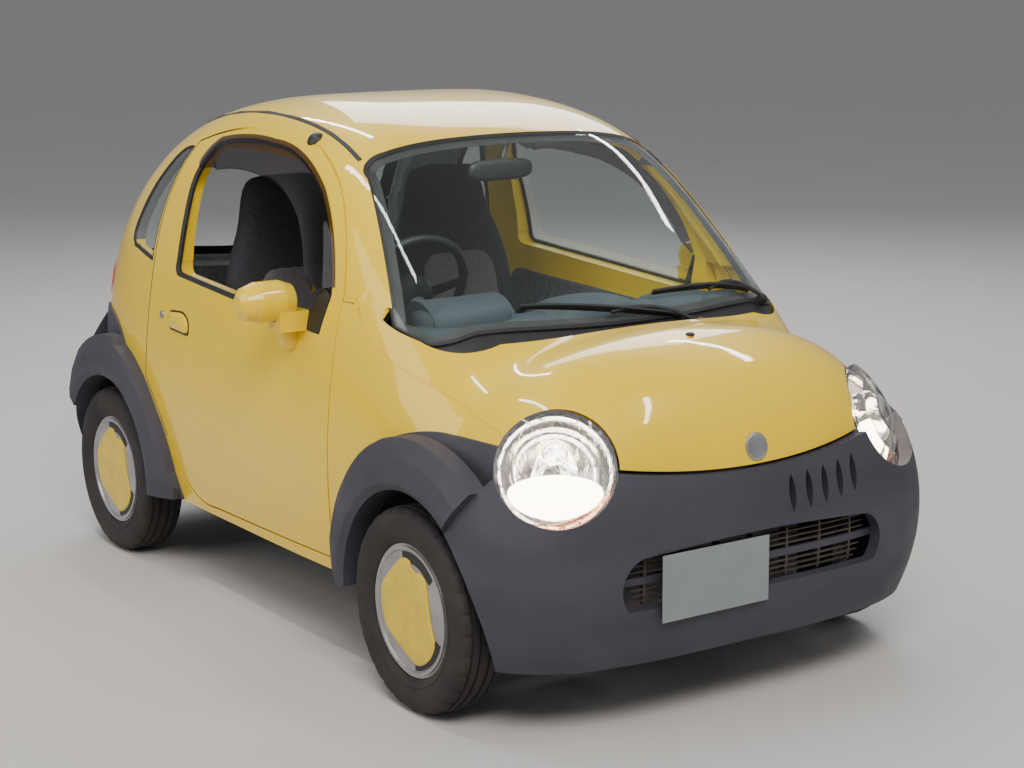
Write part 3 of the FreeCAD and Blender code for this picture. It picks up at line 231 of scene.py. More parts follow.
# The grille's slats are brown and its middle bar matches the bumper
BAR_LOW_Z = 0.3729
BAR_HIGH_Z = 0.3911
BAR_BACK_Y = -1.306
grille = nodes["grille"].data
grille.materials.clear()
grille.materials.append(slat_brown)
grille.materials.append(bumper_grey)
for face in grille.polygons:
    if BAR_LOW_Z < face.center.z < BAR_HIGH_Z and face.center.y < BAR_BACK_Y:
        face.material_index = 1

# Panel faces that look into the cabin get a dark lining
CABIN_MIDDLE = Vector((0.0, 0.35, 0.75))
LOOKS_INWARD = 0.35
ARCH_X = 0.55
ARCH_TOP_Z = 0.45
for name in ("roof_panel", "side_panels", "tail_panel"):
    mesh = nodes[name].data
    mesh.materials.append(trim_cloth)
    for face in mesh.polygons:
        inward = (CABIN_MIDDLE - face.center).normalized()
        below_arch = abs(face.center.x) > ARCH_X and face.center.z < ARCH_TOP_Z
        if face.normal.dot(inward) > LOOKS_INWARD and not below_arch:
            face.material_index = 1


# Reading shapes from the frame
def face_groups(mesh):
    """The mesh's faces, one group for each CAD face, which shares no corner with the next."""
    leader = list(range(len(mesh.vertices)))

    def lead(corner):
        while leader[corner] != corner:
            leader[corner] = leader[leader[corner]]
            corner = leader[corner]
        return corner

    for face in mesh.polygons:
        first = lead(face.vertices[0])
        for corner in face.vertices[1:]:
            other = lead(corner)
            if other != first:
                leader[other] = first
    groups = {}
    for face in mesh.polygons:
        groups.setdefault(lead(face.vertices[0]), []).append(face)
    return list(groups.values())


def rim_of(node, toward):
    """The border of the node's largest CAD face that looks toward a direction, as points in order."""
    mesh = nodes[node].data
    best = max(face_groups(mesh), key=lambda group: sum(f.area * f.normal.dot(toward) for f in group))
    edges = []
    for face in best:
        corners = list(face.vertices)
        edges.extend(zip(corners, corners[1:] + corners[:1]))
    known = set(edges)
    following = {start: end for start, end in edges if (end, start) not in known}
    first = next(iter(following))
    loop = [first]
    while following[loop[-1]] != first:
        loop.append(following[loop[-1]])
    return [mesh.vertices[corner].co.copy() for corner in loop]


def resample(points, spacing, closed=True):
    """Evenly spaced points along a path."""
    path = points + [points[0]] if closed else points
    lengths = [0.0]
    for start, end in zip(path, path[1:]):
        lengths.append(lengths[-1] + (end - start).length)
    count = max(int(lengths[-1] / spacing), 3)
    made = []
    at = 0
    for step in range(count if closed else count + 1):
        goal = lengths[-1] * step / count
        while at < len(path) - 2 and lengths[at + 1] < goal:
            at += 1
        span = lengths[at + 1] - lengths[at]
        share = (goal - lengths[at]) / span if span > 0 else 0.0
        made.append(path[at].lerp(path[at + 1], min(max(share, 0.0), 1.0)))
    return made


def tree_of(*names):
    """The skins of some nodes together, for finding points on them."""
    corners = []
    faces = []
    for name in names:
        mesh = nodes[name].data
        base = len(corners)
        corners.extend(vertex.co.copy() for vertex in mesh.vertices)
        faces.extend([base + corner for corner in face.vertices] for face in mesh.polygons)
    return BVHTree.FromPolygons(corners, faces)


BESIDE_CAR = 1.2
BEYOND_CAR = 2.0
IN_CABIN = 0.2
side_skin = tree_of("door_left", "door_glass_left", "side_panels", "quarter_glass", "front_wings",
                    "front_flares", "windscreen_pillars")
top_skin = tree_of("windscreen", "cowl", "bonnet", "roof_panel", "side_panels", "hatch_glass")
front_skin = tree_of("bonnet", "front_bumper")
back_skin = tree_of("hatch_glass", "tail_panel", "rear_bumper", "side_panels")
tail_lamp_skin = tree_of("tail_lamps")
door_skin = tree_of("door_left")
foot_skin = tree_of("windscreen_pillars", "bonnet", "front_wings", "door_left", "windscreen")
crease_skin = tree_of("bonnet", "front_wings")


def meet(skin, start, way):
    """The point and outward normal where a ray meets a skin, or None for both."""
    return skin.ray_cast(Vector(start), way)[:2]


def from_left(skin, y, z):
    return meet(skin, (BESIDE_CAR, y, z), RIGHT)


def on_side(y, z):
    return from_left(side_skin, y, z)


def on_top(x, y):
    return meet(top_skin, (x, y, BEYOND_CAR), -UP)


def on_back(x, z):
    return meet(back_skin, (x, BEYOND_CAR, z), FORWARD)


def on_tail_lamp(x, z):
    return meet(tail_lamp_skin, (x, BEYOND_CAR, z), FORWARD)


def on_front(x, z):
    return meet(front_skin, (x, -BEYOND_CAR, z), BACK)


def on_door_inside(y, z):
    return meet(door_skin, (IN_CABIN, y, z), LEFT)[0], RIGHT


# A look is a material and the slot of the record that it belongs to
RUBBER = (seal, "black_plastic")
BLACK = (black, "black_plastic")
SMOKED = (tinted, "black_plastic")
PAINTED = (yellow, "body_paint")
STEEL = (steel, "wheel_steel")
MIRROR = (mirror_glass, "wheel_steel")
REFLECTOR = (chrome, "lamp_reflector")
SHINING = (lit, "lamp_reflector")
INDICATOR = (indicator, "lamp_lens")
AMBER = (amber_lens, "tail_lens")
REVERSING = (reversing_lens, "tail_lens")
TYRE = (rubber, "tyre_rubber")
COVER = (cover_yellow, "cover_paint")
DASH = (dash, "dash_plastic")
LINING = (trim_cloth, "seat_fabric")
SEAT_CLOTH = (fabric, "seat_fabric")
SEAT_CENTRE = (centre_cloth, "seat_fabric")
SEAT_FRAME = (chassis, "seat_fabric")

# Building pieces
SHARP = 35.0
SOFT = 60.0
ROUND = 2.0
CORE = 0.0001
PAD_EDGE = 0.3
CROWN_SHARES = (0.7, 0.4, 0.1)
CORNER_REACH = 0.45
BLOB_ROWS = 14
BLOB_COLUMNS = 28
TUBE_SIDES = 10
BAR_TOP = 0.7


def piece_from(name, corners, faces, look, body, side=1, sharp=SHARP):
    """A mesh piece that rides on a body; side -1 makes the mirror image."""
    if side < 0:
        corners = [Vector((-corner[0], corner[1], corner[2])) for corner in corners]
        faces = [list(reversed(face)) for face in faces]
    mesh = bpy.data.meshes.new(name)
    mesh.from_pydata([tuple(corner) for corner in corners], [], faces)
    working = bmesh.new()
    working.from_mesh(mesh)
    bmesh.ops.recalc_face_normals(working, faces=working.faces)
    working.to_mesh(mesh)
    working.free()
    finish, slot = look
    mesh.materials.append(finish)
    mesh.polygons.foreach_set("use_smooth", [True] * len(mesh.polygons))
    mesh.set_sharp_from_angle(angle=math.radians(sharp))
    made = bpy.data.objects.new(name, mesh)
    bpy.context.collection.objects.link(made)
    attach(made, body)
    return made


def loft(name, rings, look, body, side=1, endless=False, sharp=SHARP):
    """A closed skin over rings of points, capped at both ends unless it is endless."""
    count = len(rings[0])
    corners = [point for ring in rings for point in ring]
    faces = []
    for i in range(len(rings) if endless else len(rings) - 1):
        j = (i + 1) % len(rings)
        for k in range(count):
            m = (k + 1) % count
            faces.append([i * count + k, i * count + m, j * count + m, j * count + k])
    if not endless:
        faces.append(list(reversed(range(count))))
        faces.append([(len(rings) - 1) * count + k for k in range(count)])
    return piece_from(name, corners, faces, look, body, side, sharp)


def band(name, path, normals, profile, look, body, side=1, closed=True, middle=None, sharp=SHARP):
    """A strip along a path. Its profile is (inward, outward) offsets, or gives them for a share of it."""
    if middle is None:
        middle = sum(path, Vector()) / len(path)
    rings = []
    count = len(path)
    for i, point in enumerate(path):
        before = path[i - 1] if closed or i > 0 else point
        after = path[(i + 1) % count] if closed or i < count - 1 else point
        along = (after - before).normalized()
        inward = normals[i].cross(along).normalized()
        if inward.dot(middle - point) < 0:
            inward = -inward
        offsets = profile(i / (count - 1)) if callable(profile) else profile
        rings.append([point + inward * u + normals[i] * v for u, v in offsets])
    return loft(name, rings, look, body, side, endless=closed, sharp=sharp)


def plate_on(name, outline, place, thickness, look, body, side=1, bevel=0.0, sink=0.0, crown=0.0):
    """A thin pad that follows a surface; place gives (point, normal) for each corner of its outline."""
    middle_u = sum(u for u, v in outline) / len(outline)
    middle_v = sum(v for u, v in outline) / len(outline)
    edge = bevel if bevel else thickness * PAD_EDGE
    levels = [(1.0, -sink), (1.0, thickness - edge), (0.985, thickness - edge * PAD_EDGE), (0.95, thickness)]
    levels += [(share, thickness + crown * (1 - share * share)) for share in CROWN_SHARES]
    rings = []
    for share, level in levels:
        ring = []
        for u, v in outline:
            point, normal = place(middle_u + (u - middle_u) * share, middle_v + (v - middle_v) * share)
            ring.append(point + normal * level)
        rings.append(ring)
    return loft(name, rings, look, body, side)


def rounded(points, radius, steps=5):
    """A flat polygon with its corners rounded off."""
    made = []
    count = len(points)
    for i in range(count):
        here = Vector(points[i])
        before = Vector(points[i - 1])
        after = Vector(points[(i + 1) % count])
        reach = min(radius, (before - here).length * CORNER_REACH, (after - here).length * CORNER_REACH)
        start = here + (before - here).normalized() * reach
        end = here + (after - here).normalized() * reach
        for k in range(steps + 1):
            t = k / steps
            made.append(tuple(start * (1 - t) ** 2 + here * 2 * t * (1 - t) + end * t * t))
    return made


def full_turn(count):
    """Evenly spaced angles all the way round."""
    return [2 * math.pi * k / count for k in range(count)]


def turned(name, profile, centre, axis, look, body, side=1, steps=72):
    """A closed solid turned from (radius, along) points about an axis."""
    axis = Vector(axis).normalized()
    first = axis.orthogonal().normalized()
    second = axis.cross(first)
    rings = []
    for angle in full_turn(steps):
        out = first * math.cos(angle) + second * math.sin(angle)
        rings.append([Vector(centre) + out * radius + axis * along for radius, along in profile])
    return loft(name, rings, look, body, side, endless=True)


def signed_power(value, power):
    return math.copysign(abs(value) ** power, value)


def blob(name, centre, radii, look, body, side=1, power=ROUND):
    """A rounded lump; a power over 2 squares it off."""
    def bend(value):
        return signed_power(value, ROUND / power)

    rings = []
    for i in range(1, BLOB_ROWS):
        tilt = math.pi * i / BLOB_ROWS - math.pi / 2
        ring = []
        for angle in full_turn(BLOB_COLUMNS):
            ring.append(Vector((centre[0] + radii[0] * bend(math.cos(tilt)) * bend(math.cos(angle)),
                                centre[1] + radii[1] * bend(math.cos(tilt)) * bend(math.sin(angle)),
                                centre[2] + radii[2] * bend(math.sin(tilt)))))
        rings.append(ring)
    return loft(name, rings, look, body, side, sharp=SOFT)


def tube(name, points, radius, look, body):
    """A round bar along points, for a bar that isn't upright."""
    rings = []
    for i, point in enumerate(points):
        along = (points[min(i + 1, len(points) - 1)] - points[max(i - 1, 0)]).normalized()
        first = along.cross(UP).normalized()
        second = along.cross(first)
        rings.append([point + first * radius * math.cos(angle) + second * radius * math.sin(angle)
                      for angle in full_turn(TUBE_SIDES)])
    return loft(name, rings, look, body)


def bar(name, line, width, height, look, body, lift=0.0, side=1):
    """A flat bar along (point, normal) pairs; width is one value, or a list with one for each pair."""
    widths = width if isinstance(width, list) else [width] * len(line)
    rings = []
    for i, (point, normal) in enumerate(line):
        along = (line[min(i + 1, len(line) - 1)][0] - line[max(i - 1, 0)][0]).normalized()
        across = normal.cross(along).normalized() * (widths[i] / 2)
        base = point + normal * lift
        top = base + normal * height
        rings.append([base - across, top - across * BAR_TOP, top + across * BAR_TOP, base + across])
    return loft(name, rings, look, body, side)


# Rubbers and dark borders of the glass, as (inward, outward) offsets from its edge
RIM_STEP = 0.02
WINDOW_STEP = 0.014
QUARTER_STEP = 0.012
SIDE_LEAN = 0.35
SCREEN_RUBBER = [(-0.003, -0.004), (-0.001, 0.003), (0.01, 0.003), (0.013, 0.0005)]
HATCH_RUBBER = [(0.0, -0.004), (0.001, 0.003), (0.01, 0.003), (0.013, 0.0005)]
WINDOW_RUBBER = [(-0.002, -0.008), (-0.0015, 0.0035), (0.007, 0.0035), (0.013, 0.0), (0.013, -0.008)]
QUARTER_RUBBER = [(-0.001, -0.004), (-0.0005, 0.003), (0.009, 0.003), (0.013, 0.0)]
BORDER_TOP = -0.0055
BORDER_UNDER = -0.0065


def border(start, end):
    """A thin dark strip under the glass from one inward offset to another."""
    return [(start, BORDER_UNDER), (start, BORDER_TOP), (end, BORDER_TOP), (end, BORDER_UNDER)]


def leaned_normals(points, toward):
    """Steady normals for a glass rim: the main direction, leaned out at the sides."""
    middle = sum(points, Vector()) / len(points)
    made = []
    for point in points:
        lean = Vector((point.x - middle.x, 0.0, 0.0)) * SIDE_LEAN
        made.append((toward + lean).normalized())
    return made


screen_rim = resample(rim_of("windscreen", Vector((0.0, -0.6, 0.8))), RIM_STEP)
screen_out = leaned_normals(screen_rim, Vector((0.0, -0.62, 0.78)))
band("screen_rubber", screen_rim, screen_out, SCREEN_RUBBER, RUBBER, "root")
band("screen_border", screen_rim, screen_out, border(0.0, 0.036), RUBBER, "root")
hatch_rim = resample(rim_of("hatch_glass", Vector((0.0, 0.7, 0.7))), RIM_STEP)
hatch_out = leaned_normals(hatch_rim, Vector((0.0, 0.7, 0.71)))
band("hatch_rubber", hatch_rim, hatch_out, HATCH_RUBBER, RUBBER, "hatch_body")
band("hatch_border", hatch_rim, hatch_out, border(0.002, 0.045), RUBBER, "hatch_body")
window_rim = resample(rim_of("door_glass_left", LEFT), WINDOW_STEP)
window_out = [Vector((0.96, 0.0, 0.28))] * len(window_rim)
quarter_rim = resample(rim_of("quarter_glass", LEFT), QUARTER_STEP)
quarter_out = [Vector((0.92, 0.12, 0.36)).normalized()] * len(quarter_rim)
for name, side in SIDES:
    band("window_rubber_" + name, window_rim, window_out, WINDOW_RUBBER, RUBBER, "door_body_" + name, side)
    band("quarter_rubber_" + name, quarter_rim, quarter_out, QUARTER_RUBBER, RUBBER, "root", side)

# Smoked visors over the door windows, from the mirror over the top to the rear edge
VISOR_START = Vector((0.0, -0.376, 0.985))
VISOR_TOP = Vector((0.0, 0.13, 1.33))
VISOR_END = Vector((0.0, 0.512, 1.262))
VISOR_MIDDLE = Vector((0.62, 0.1, 1.05))
VISOR_OUT = Vector((0.95, 0.0, 0.3)).normalized()
VISOR_WIDTH = 0.118
VISOR_TAPER = 0.028
VISOR_SHEET = 0.0025
VISOR_SHARP = 50.0
FRONT_TIP = 0.05
REAR_TIP = 0.93
FRONT_TIP_SHARE = 0.75
FRONT_TIP_GROWTH = 5
REAR_TIP_LOSS = 0.45


def nearest_index(points, goal):
    return min(range(len(points)), key=lambda i: (points[i].y - goal.y) ** 2 + (points[i].z - goal.z) ** 2)


def stretch_between(points, start, end, through):
    """The stretch of a closed loop from start to end that passes a third point."""
    first = nearest_index(points, start)
    last = nearest_index(points, end)
    passed = nearest_index(points, through)
    count = len(points)
    if (passed - first) % count <= (last - first) % count:
        return [points[(first + i) % count] for i in range((last - first) % count + 1)]
    return [points[(first - i) % count] for i in range((first - last) % count + 1)]


def visor_section(share):
    """The visor's curved sheet, narrower toward the rear and at its tips."""
    width = VISOR_WIDTH - VISOR_TAPER * share
    if share > REAR_TIP:
        width *= 1 - (share - REAR_TIP) / (1 - REAR_TIP) * REAR_TIP_LOSS
    if share < FRONT_TIP:
        width *= FRONT_TIP_SHARE + share * FRONT_TIP_GROWTH
    outer = [(-0.012, 0.005), (0.01, 0.016), (0.04, 0.024), (width * 0.75, 0.024), (width, 0.018)]
    inner = [(u, v - VISOR_SHEET) for u, v in reversed(outer)]
    return outer + inner


visor_path = stretch_between(window_rim, VISOR_START, VISOR_END, VISOR_TOP)
for name, side in SIDES:
    band("visor_" + name, visor_path, [VISOR_OUT] * len(visor_path), visor_section, SMOKED,
         "door_body_" + name, side, closed=False, middle=VISOR_MIDDLE, sharp=VISOR_SHARP)

# Door details: black corner panel, handle and lock, as (distance along the car, height)
SAIL_PANEL = [(-0.352, 0.872), (-0.38, 0.972), (-0.352, 0.992), (-0.318, 0.968), (-0.262, 0.884),
              (-0.266, 0.872)]
SAIL_AT = (-0.3, 0.93)
HANDLE = [(0.54, 0.813), (0.452, 0.82), (0.412, 0.803), (0.404, 0.764), (0.532, 0.77)]
HANDLE_GAP = [(0.546, 0.818), (0.45, 0.826), (0.405, 0.806), (0.397, 0.757), (0.538, 0.763)]
LOCK_AT = (0.592, 0.798)
LOCK = [(CORE, -0.002), (0.012, -0.002), (0.012, 0.003), (0.01, 0.0045), (CORE, 0.0045)]

# The mirror's foot, gasket and glass
MIRROR_FOOT_AT = (-0.213, 0.845)
MIRROR_FOOT_SHIFT = Vector((0.006, 0.0, 0.004))
MIRROR_FOOT_RADII = (0.026, 0.034, 0.04)
GASKET = [(0.69, -0.262), (0.742, -0.262), (0.742, -0.205), (0.69, -0.205)]
GASKET_Z = 0.898
MIRROR_SHIFT_X = 0.004
MIRROR_Z = 0.95
MIRROR_HALF = (0.066, 0.041)
MIRROR_SQUARENESS = 0.7
MIRROR_POINTS = 40
MIRROR_SUNK = 0.0005
sail_point, sail_normal = on_side(*SAIL_AT)
mirror_low, mirror_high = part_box("mirror_left")
mirror_x = (mirror_low.x + mirror_high.x) / 2 + MIRROR_SHIFT_X


def on_sail_plane(y, z):
    """The plane that touches the side at the corner panel's middle."""
    fall = sail_normal.y * (y - SAIL_AT[0]) + sail_normal.z * (z - SAIL_AT[1])
    return Vector((sail_point.x - fall / sail_normal.x, y, z)), sail_normal


def on_gasket(x, y):
    return Vector((x, y, GASKET_Z)), UP


def on_mirror_back(x, z):
    return Vector((x, mirror_high.y - MIRROR_SUNK, z)), BACK


def mirror_outline():
    """An oval with squared shoulders."""
    made = []
    for angle in full_turn(MIRROR_POINTS):
        made.append((mirror_x + MIRROR_HALF[0] * signed_power(math.cos(angle), MIRROR_SQUARENESS),
                     MIRROR_Z + MIRROR_HALF[1] * signed_power(math.sin(angle), MIRROR_SQUARENESS)))
    return made


for name, side in SIDES:
    body = "door_body_" + name
    plate_on("sail_panel_" + name, rounded(SAIL_PANEL, 0.012), on_sail_plane, 0.006, BLACK, body, side,
             sink=0.003)
    plate_on("handle_gap_" + name, rounded(HANDLE_GAP, 0.02), on_side, 0.0012, RUBBER, body, side,
             sink=0.002)
    plate_on("handle_" + name, rounded(HANDLE, 0.022), on_side, 0.0075, PAINTED, body, side, sink=0.001,
             crown=0.004)
    lock_point, lock_normal = on_side(*LOCK_AT)
    turned("lock_" + name, LOCK, lock_point, lock_normal, STEEL, body, side, steps=32)
    foot_centre = on_side(*MIRROR_FOOT_AT)[0] + MIRROR_FOOT_SHIFT
    blob("mirror_pod_" + name, foot_centre, MIRROR_FOOT_RADII, PAINTED, body, side, power=2.4)
    plate_on("mirror_gasket_" + name, rounded(GASKET, 0.015), on_gasket, 0.008, BLACK, body, side)
    plate_on("mirror_glass_" + name, mirror_outline(), on_mirror_back, 0.0015, MIRROR, body, side)

# A patch at the foot of each windscreen pillar, over the hollow that the bonnet's hinge corner needs
FLAT_CUT = 0.999
FOOT_LOW_Z = 0.93
FOOT_HIGH_Z = 1.02
FOOT_SAMPLES = 60
FOOT_FRONT_Y = -0.486
FOOT_STEP = 0.004
FOOT_COLUMNS = 28
LEAST_HOLLOW = 0.004
LARGEST_HOLLOW = 0.07
PATCH_POINTS = 9
PATCH_PROUD = Vector((0.0008, 0.0, 0.0))
PATCH_THICKNESS = Vector((0.004, 0.0, 0.0))


def foot_column(y):
    """Points over the hollow at one distance along the car, between the sound skin below and above it."""
    sound = []
    for k in range(FOOT_SAMPLES):
        z = FOOT_LOW_Z + (FOOT_HIGH_Z - FOOT_LOW_Z) * k / (FOOT_SAMPLES - 1)
        point, normal = from_left(foot_skin, y, z)
        if point is not None and abs(normal.x) < FLAT_CUT:
            sound.append(point)
    gaps = [(high.z - low.z, low, high) for low, high in zip(sound, sound[1:])]
    if not gaps:
        return None
    height, low, high = max(gaps, key=lambda gap: gap[0])
    if height < LEAST_HOLLOW or height > LARGEST_HOLLOW:
        return None
    return [low.lerp(high, k / (PATCH_POINTS - 1)) + PATCH_PROUD for k in range(PATCH_POINTS)]


foot_rings = []
for k in range(FOOT_COLUMNS):
    column = foot_column(FOOT_FRONT_Y - FOOT_STEP * k)
    if column:
        foot_rings.append(column + [point - PATCH_THICKNESS for point in reversed(column)])
for name, side in SIDES:
    loft("pillar_foot_" + name, foot_rings, PAINTED, "root", side, sharp=SOFT)

# A body-coloured strip down in the joint between bonnet and wing, as (distance along the car, height)
CREASE = ((-1.15, 0.698), (-1.036, 0.727), (-0.97, 0.742), (-0.915, 0.757), (-0.855, 0.779),
          (-0.798, 0.803), (-0.745, 0.822), (-0.69, 0.838), (-0.64, 0.854), (-0.595, 0.872),
          (-0.57, 0.889), (-0.546, 0.912), (-0.52, 0.94))
CREASE_STEP = 0.012
ABOVE_JOINT = 0.005
BELOW_JOINT = 0.012
JOINT_LIFT = -0.003


def joint_point(y, z):
    """The middle of the joint from the skin above and below it, or None past its end."""
    high, high_normal = from_left(crease_skin, y, z + ABOVE_JOINT)
    low, low_normal = from_left(crease_skin, y, z - BELOW_JOINT)
    if high is None or low is None:
        return None
    return high.lerp(low, 0.5), (high_normal + low_normal).normalized()


crease_path = resample([Vector((0.0, y, z)) for y, z in CREASE], CREASE_STEP, closed=False)
joint_line = [found for found in (joint_point(point.y, point.z) for point in crease_path) if found]
for name, side in SIDES:
    bar("bonnet_joint_" + name, joint_line, 0.01, 0.0012, PAINTED, "root", JOINT_LIFT, side)

# Roof mouldings, as (across, along), and the antenna's base on the right
DITCH = [(0.468, -0.262), (0.461, -0.186), (0.452, -0.08), (0.446, 0.02), (0.441, 0.14), (0.437, 0.32),
         (0.434, 0.5), (0.428, 0.64), (0.418, 0.74)]
DITCH_STEP = 0.03
MOULDING_LIFT = -0.0005
ANTENNA_AT = (0.482, -0.042)
ANTENNA_BASE = [(CORE, -0.004), (0.024, -0.004), (0.024, 0.003), (0.016, 0.01), (0.006, 0.014),
                (CORE, 0.015)]
ditch_path = resample([on_top(x, y)[0] for x, y in DITCH], DITCH_STEP, closed=False)
ditch_line = [(point, on_top(point.x, point.y)[1]) for point in ditch_path]
for name, side in SIDES:
    bar("roof_moulding_" + name, ditch_line, 0.015, 0.003, RUBBER, "root", MOULDING_LIFT, side)
antenna_point, antenna_normal = on_top(*ANTENNA_AT)
turned("antenna_base", ANTENNA_BASE, antenna_point, antenna_normal, BLACK, "root", side=-1, steps=40)

# Wipers with their pivots on the dark strip and their blades on the glass
WIPERS = (("left", (0.485, -0.788), (0.105, -0.8)), ("right", (0.205, -0.868), (-0.315, -0.79)))
PIVOT = [(CORE, -0.004), (0.017, -0.004), (0.016, 0.016), (0.01, 0.02), (CORE, 0.021)]
ARM_POINTS = 9
ARM_REACH = 0.52
ARM_BOW = 0.022
ARM_WIDTH = 0.017
ARM_TAPER = 0.001
BLADE_POINTS = 15
BLADE_START = 0.1
BLADE_SHIFT = 0.012
FRAME_BOW = 0.006


def between(start, end, share, shift):
    """A point of the windscreen at a share of the way, shifted up the glass, with its normal."""
    x = start[0] + (end[0] - start[0]) * share
    y = start[1] + (end[1] - start[1]) * share + shift
    return on_top(x, y)


for name, pivot, tip in WIPERS:
    pivot_point, pivot_normal = on_top(*pivot)
    turned("wiper_pivot_" + name, PIVOT, pivot_point, pivot_normal, BLACK, "root", steps=32)
    arm = []
    for k in range(ARM_POINTS):
        share = k / (ARM_POINTS - 1)
        arm.append(between(pivot, tip, share * ARM_REACH, ARM_BOW * math.sin(math.pi * share)))
    arm_widths = [ARM_WIDTH - ARM_TAPER * k for k in range(ARM_POINTS)]
    bar("wiper_arm_" + name, arm, arm_widths, 0.006, BLACK, "root", 0.012)
    blade = []
    blade_frame = []
    for k in range(BLADE_POINTS):
        share = k / (BLADE_POINTS - 1)
        point, normal = between(pivot, tip, BLADE_START + (1 - BLADE_START) * share, BLADE_SHIFT)
        blade.append((point, normal))
        blade_frame.append((point + normal * FRAME_BOW * math.sin(math.pi * share), normal))
    bar("wiper_blade_" + name, blade, 0.006, 0.009, RUBBER, "root", 0.0006)
    bar("wiper_frame_" + name, blade_frame, 0.01, 0.006, BLACK, "root", 0.0095)

# Vents in the dark strip below the windscreen
RIBS = 20
FIRST_RIB_X = -0.19
RIB_SPACING = 0.0155
RIB_POINTS = 4
RIB_REAR_Y = -0.868
RIB_STEP = 0.01
RIB_SLANT = 0.003
RIB_SWEEP = 0.012
for k in range(RIBS):
    x = FIRST_RIB_X + RIB_SPACING * k
    y = RIB_REAR_Y + RIB_SWEEP * abs(x)
    rib = [on_top(x + RIB_SLANT * j, y - RIB_STEP * j) for j in range(RIB_POINTS)]
    bar("scuttle_rib_%02d" % k, rib, 0.006, 0.004, BLACK, "root", -0.001)

# Washer nozzle, and a plain disc on the nose
NOZZLE_AT = (0.01, -1.067)
NOZZLE_RADII = (0.011, 0.013, 0.006)
DISC_AT = (0.01, 0.662)
DISC = [(CORE, -0.002), (0.034, -0.002), (0.034, 0.003), (0.03, 0.0048), (0.026, 0.0035), (CORE, 0.0045)]
nozzle_point, nozzle_normal = on_top(*NOZZLE_AT)
blob("washer_nozzle", nozzle_point + nozzle_normal * 0.002, NOZZLE_RADII, BLACK, "bonnet_body")
disc_point, disc_normal = on_front(*DISC_AT)
turned("nose_disc", DISC, disc_point, disc_normal, STEEL, "bonnet_body", steps=48)

# Head lamps: ring, lit lower part, bulb shade, two reflector rings and the indicator's crescent
LAMP_CENTRE = Vector((0.507, -1.208, 0.65))
LAMP_AXIS = Vector((0.497, -0.759, 0.423)).normalized()
LAMP_RADIUS = 0.146
lamp_across = UP.cross(LAMP_AXIS).normalized()
lamp_up = LAMP_AXIS.cross(lamp_across)
RING_INNER = LAMP_RADIUS - 0.006
RING_OUTER = LAMP_RADIUS - 0.0005
LAMP_RING = [(RING_INNER, -0.012), (RING_OUTER, -0.012), (RING_OUTER, -0.002), (RING_INNER, -0.002)]
BEAM_POINTS = 36
BEAM_HALF_WIDTH = 0.112
BEAM_DROP = 0.044
BEAM_BELOW = 0.066
BEAM_ABOVE = 0.04
BEAM_DEPTH = -0.03
BULB_SHADE = [(CORE, 0.0), (0.026, 0.0), (0.03, -0.012), (0.024, -0.04), (CORE, -0.04)]
BULB_UP = 0.045
BULB_SUNK = 0.01
REFLECTORS = (("outer", 0.128, -0.028), ("inner", 0.09, -0.05))
REFLECTOR_WIDTH = 0.006
REFLECTOR_HEIGHT = 0.012
ARC_RADIUS = 0.14
ARC_START = -178
ARC_SWEEP = 124
ARC_STEPS = 18
ARC_WIDTH = 0.022
ARC_DEPTH = -0.006
ARC_THICKNESS = 0.012


def in_lamp(depth):
    """Places pads across the lamp at a depth."""
    def place(u, v):
        return LAMP_CENTRE + lamp_across * u + lamp_up * v + LAMP_AXIS * depth, LAMP_AXIS
    return place


def beam_outline():
    """A wide oval, deeper below its middle than above."""
    made = []
    for angle in full_turn(BEAM_POINTS):
        reach = BEAM_BELOW if math.sin(angle) < 0 else BEAM_ABOVE
        made.append((BEAM_HALF_WIDTH * math.cos(angle), -BEAM_DROP + reach * math.sin(angle)))
    return made


def crescent_outline():
    """An arc along the lamp's lower rim and back, thickest at its middle."""
    outer = []
    inner = []
    for k in range(ARC_STEPS + 1):
        angle = math.radians(ARC_START + ARC_SWEEP * k / ARC_STEPS)
        radius = ARC_RADIUS - ARC_WIDTH * math.sin(math.pi * k / ARC_STEPS)
        outer.append((ARC_RADIUS * math.cos(angle), ARC_RADIUS * math.sin(angle)))
        inner.append((radius * math.cos(angle), radius * math.sin(angle)))
    return outer + list(reversed(inner))


for name, side in SIDES:
    turned("lamp_ring_" + name, LAMP_RING, LAMP_CENTRE, LAMP_AXIS, BLACK, "root", side)
    plate_on("lamp_beam_" + name, beam_outline(), in_lamp(BEAM_DEPTH), 0.004, SHINING, "root", side,
             crown=0.01)
    bulb_point = LAMP_CENTRE + lamp_up * BULB_UP - LAMP_AXIS * BULB_SUNK
    turned("bulb_shade_" + name, BULB_SHADE, bulb_point, LAMP_AXIS, REFLECTOR, "root", side, steps=40)
    for ring_name, radius, depth in REFLECTORS:
        outer = radius + REFLECTOR_WIDTH
        face = depth + REFLECTOR_HEIGHT
        section = [(radius, depth), (outer, depth), (outer, face), (radius, face)]
        ending = "%s_%s" % (ring_name, name)
        turned("reflector_" + ending, section, LAMP_CENTRE, LAMP_AXIS, REFLECTOR, "root", side)
    crescent = [in_lamp(ARC_DEPTH)(u, v)[0] for u, v in crescent_outline()]
    crescent_back = [point - LAMP_AXIS * ARC_THICKNESS for point in crescent]
    loft("indicator_" + name, [crescent_back, crescent], INDICATOR, "root", side)

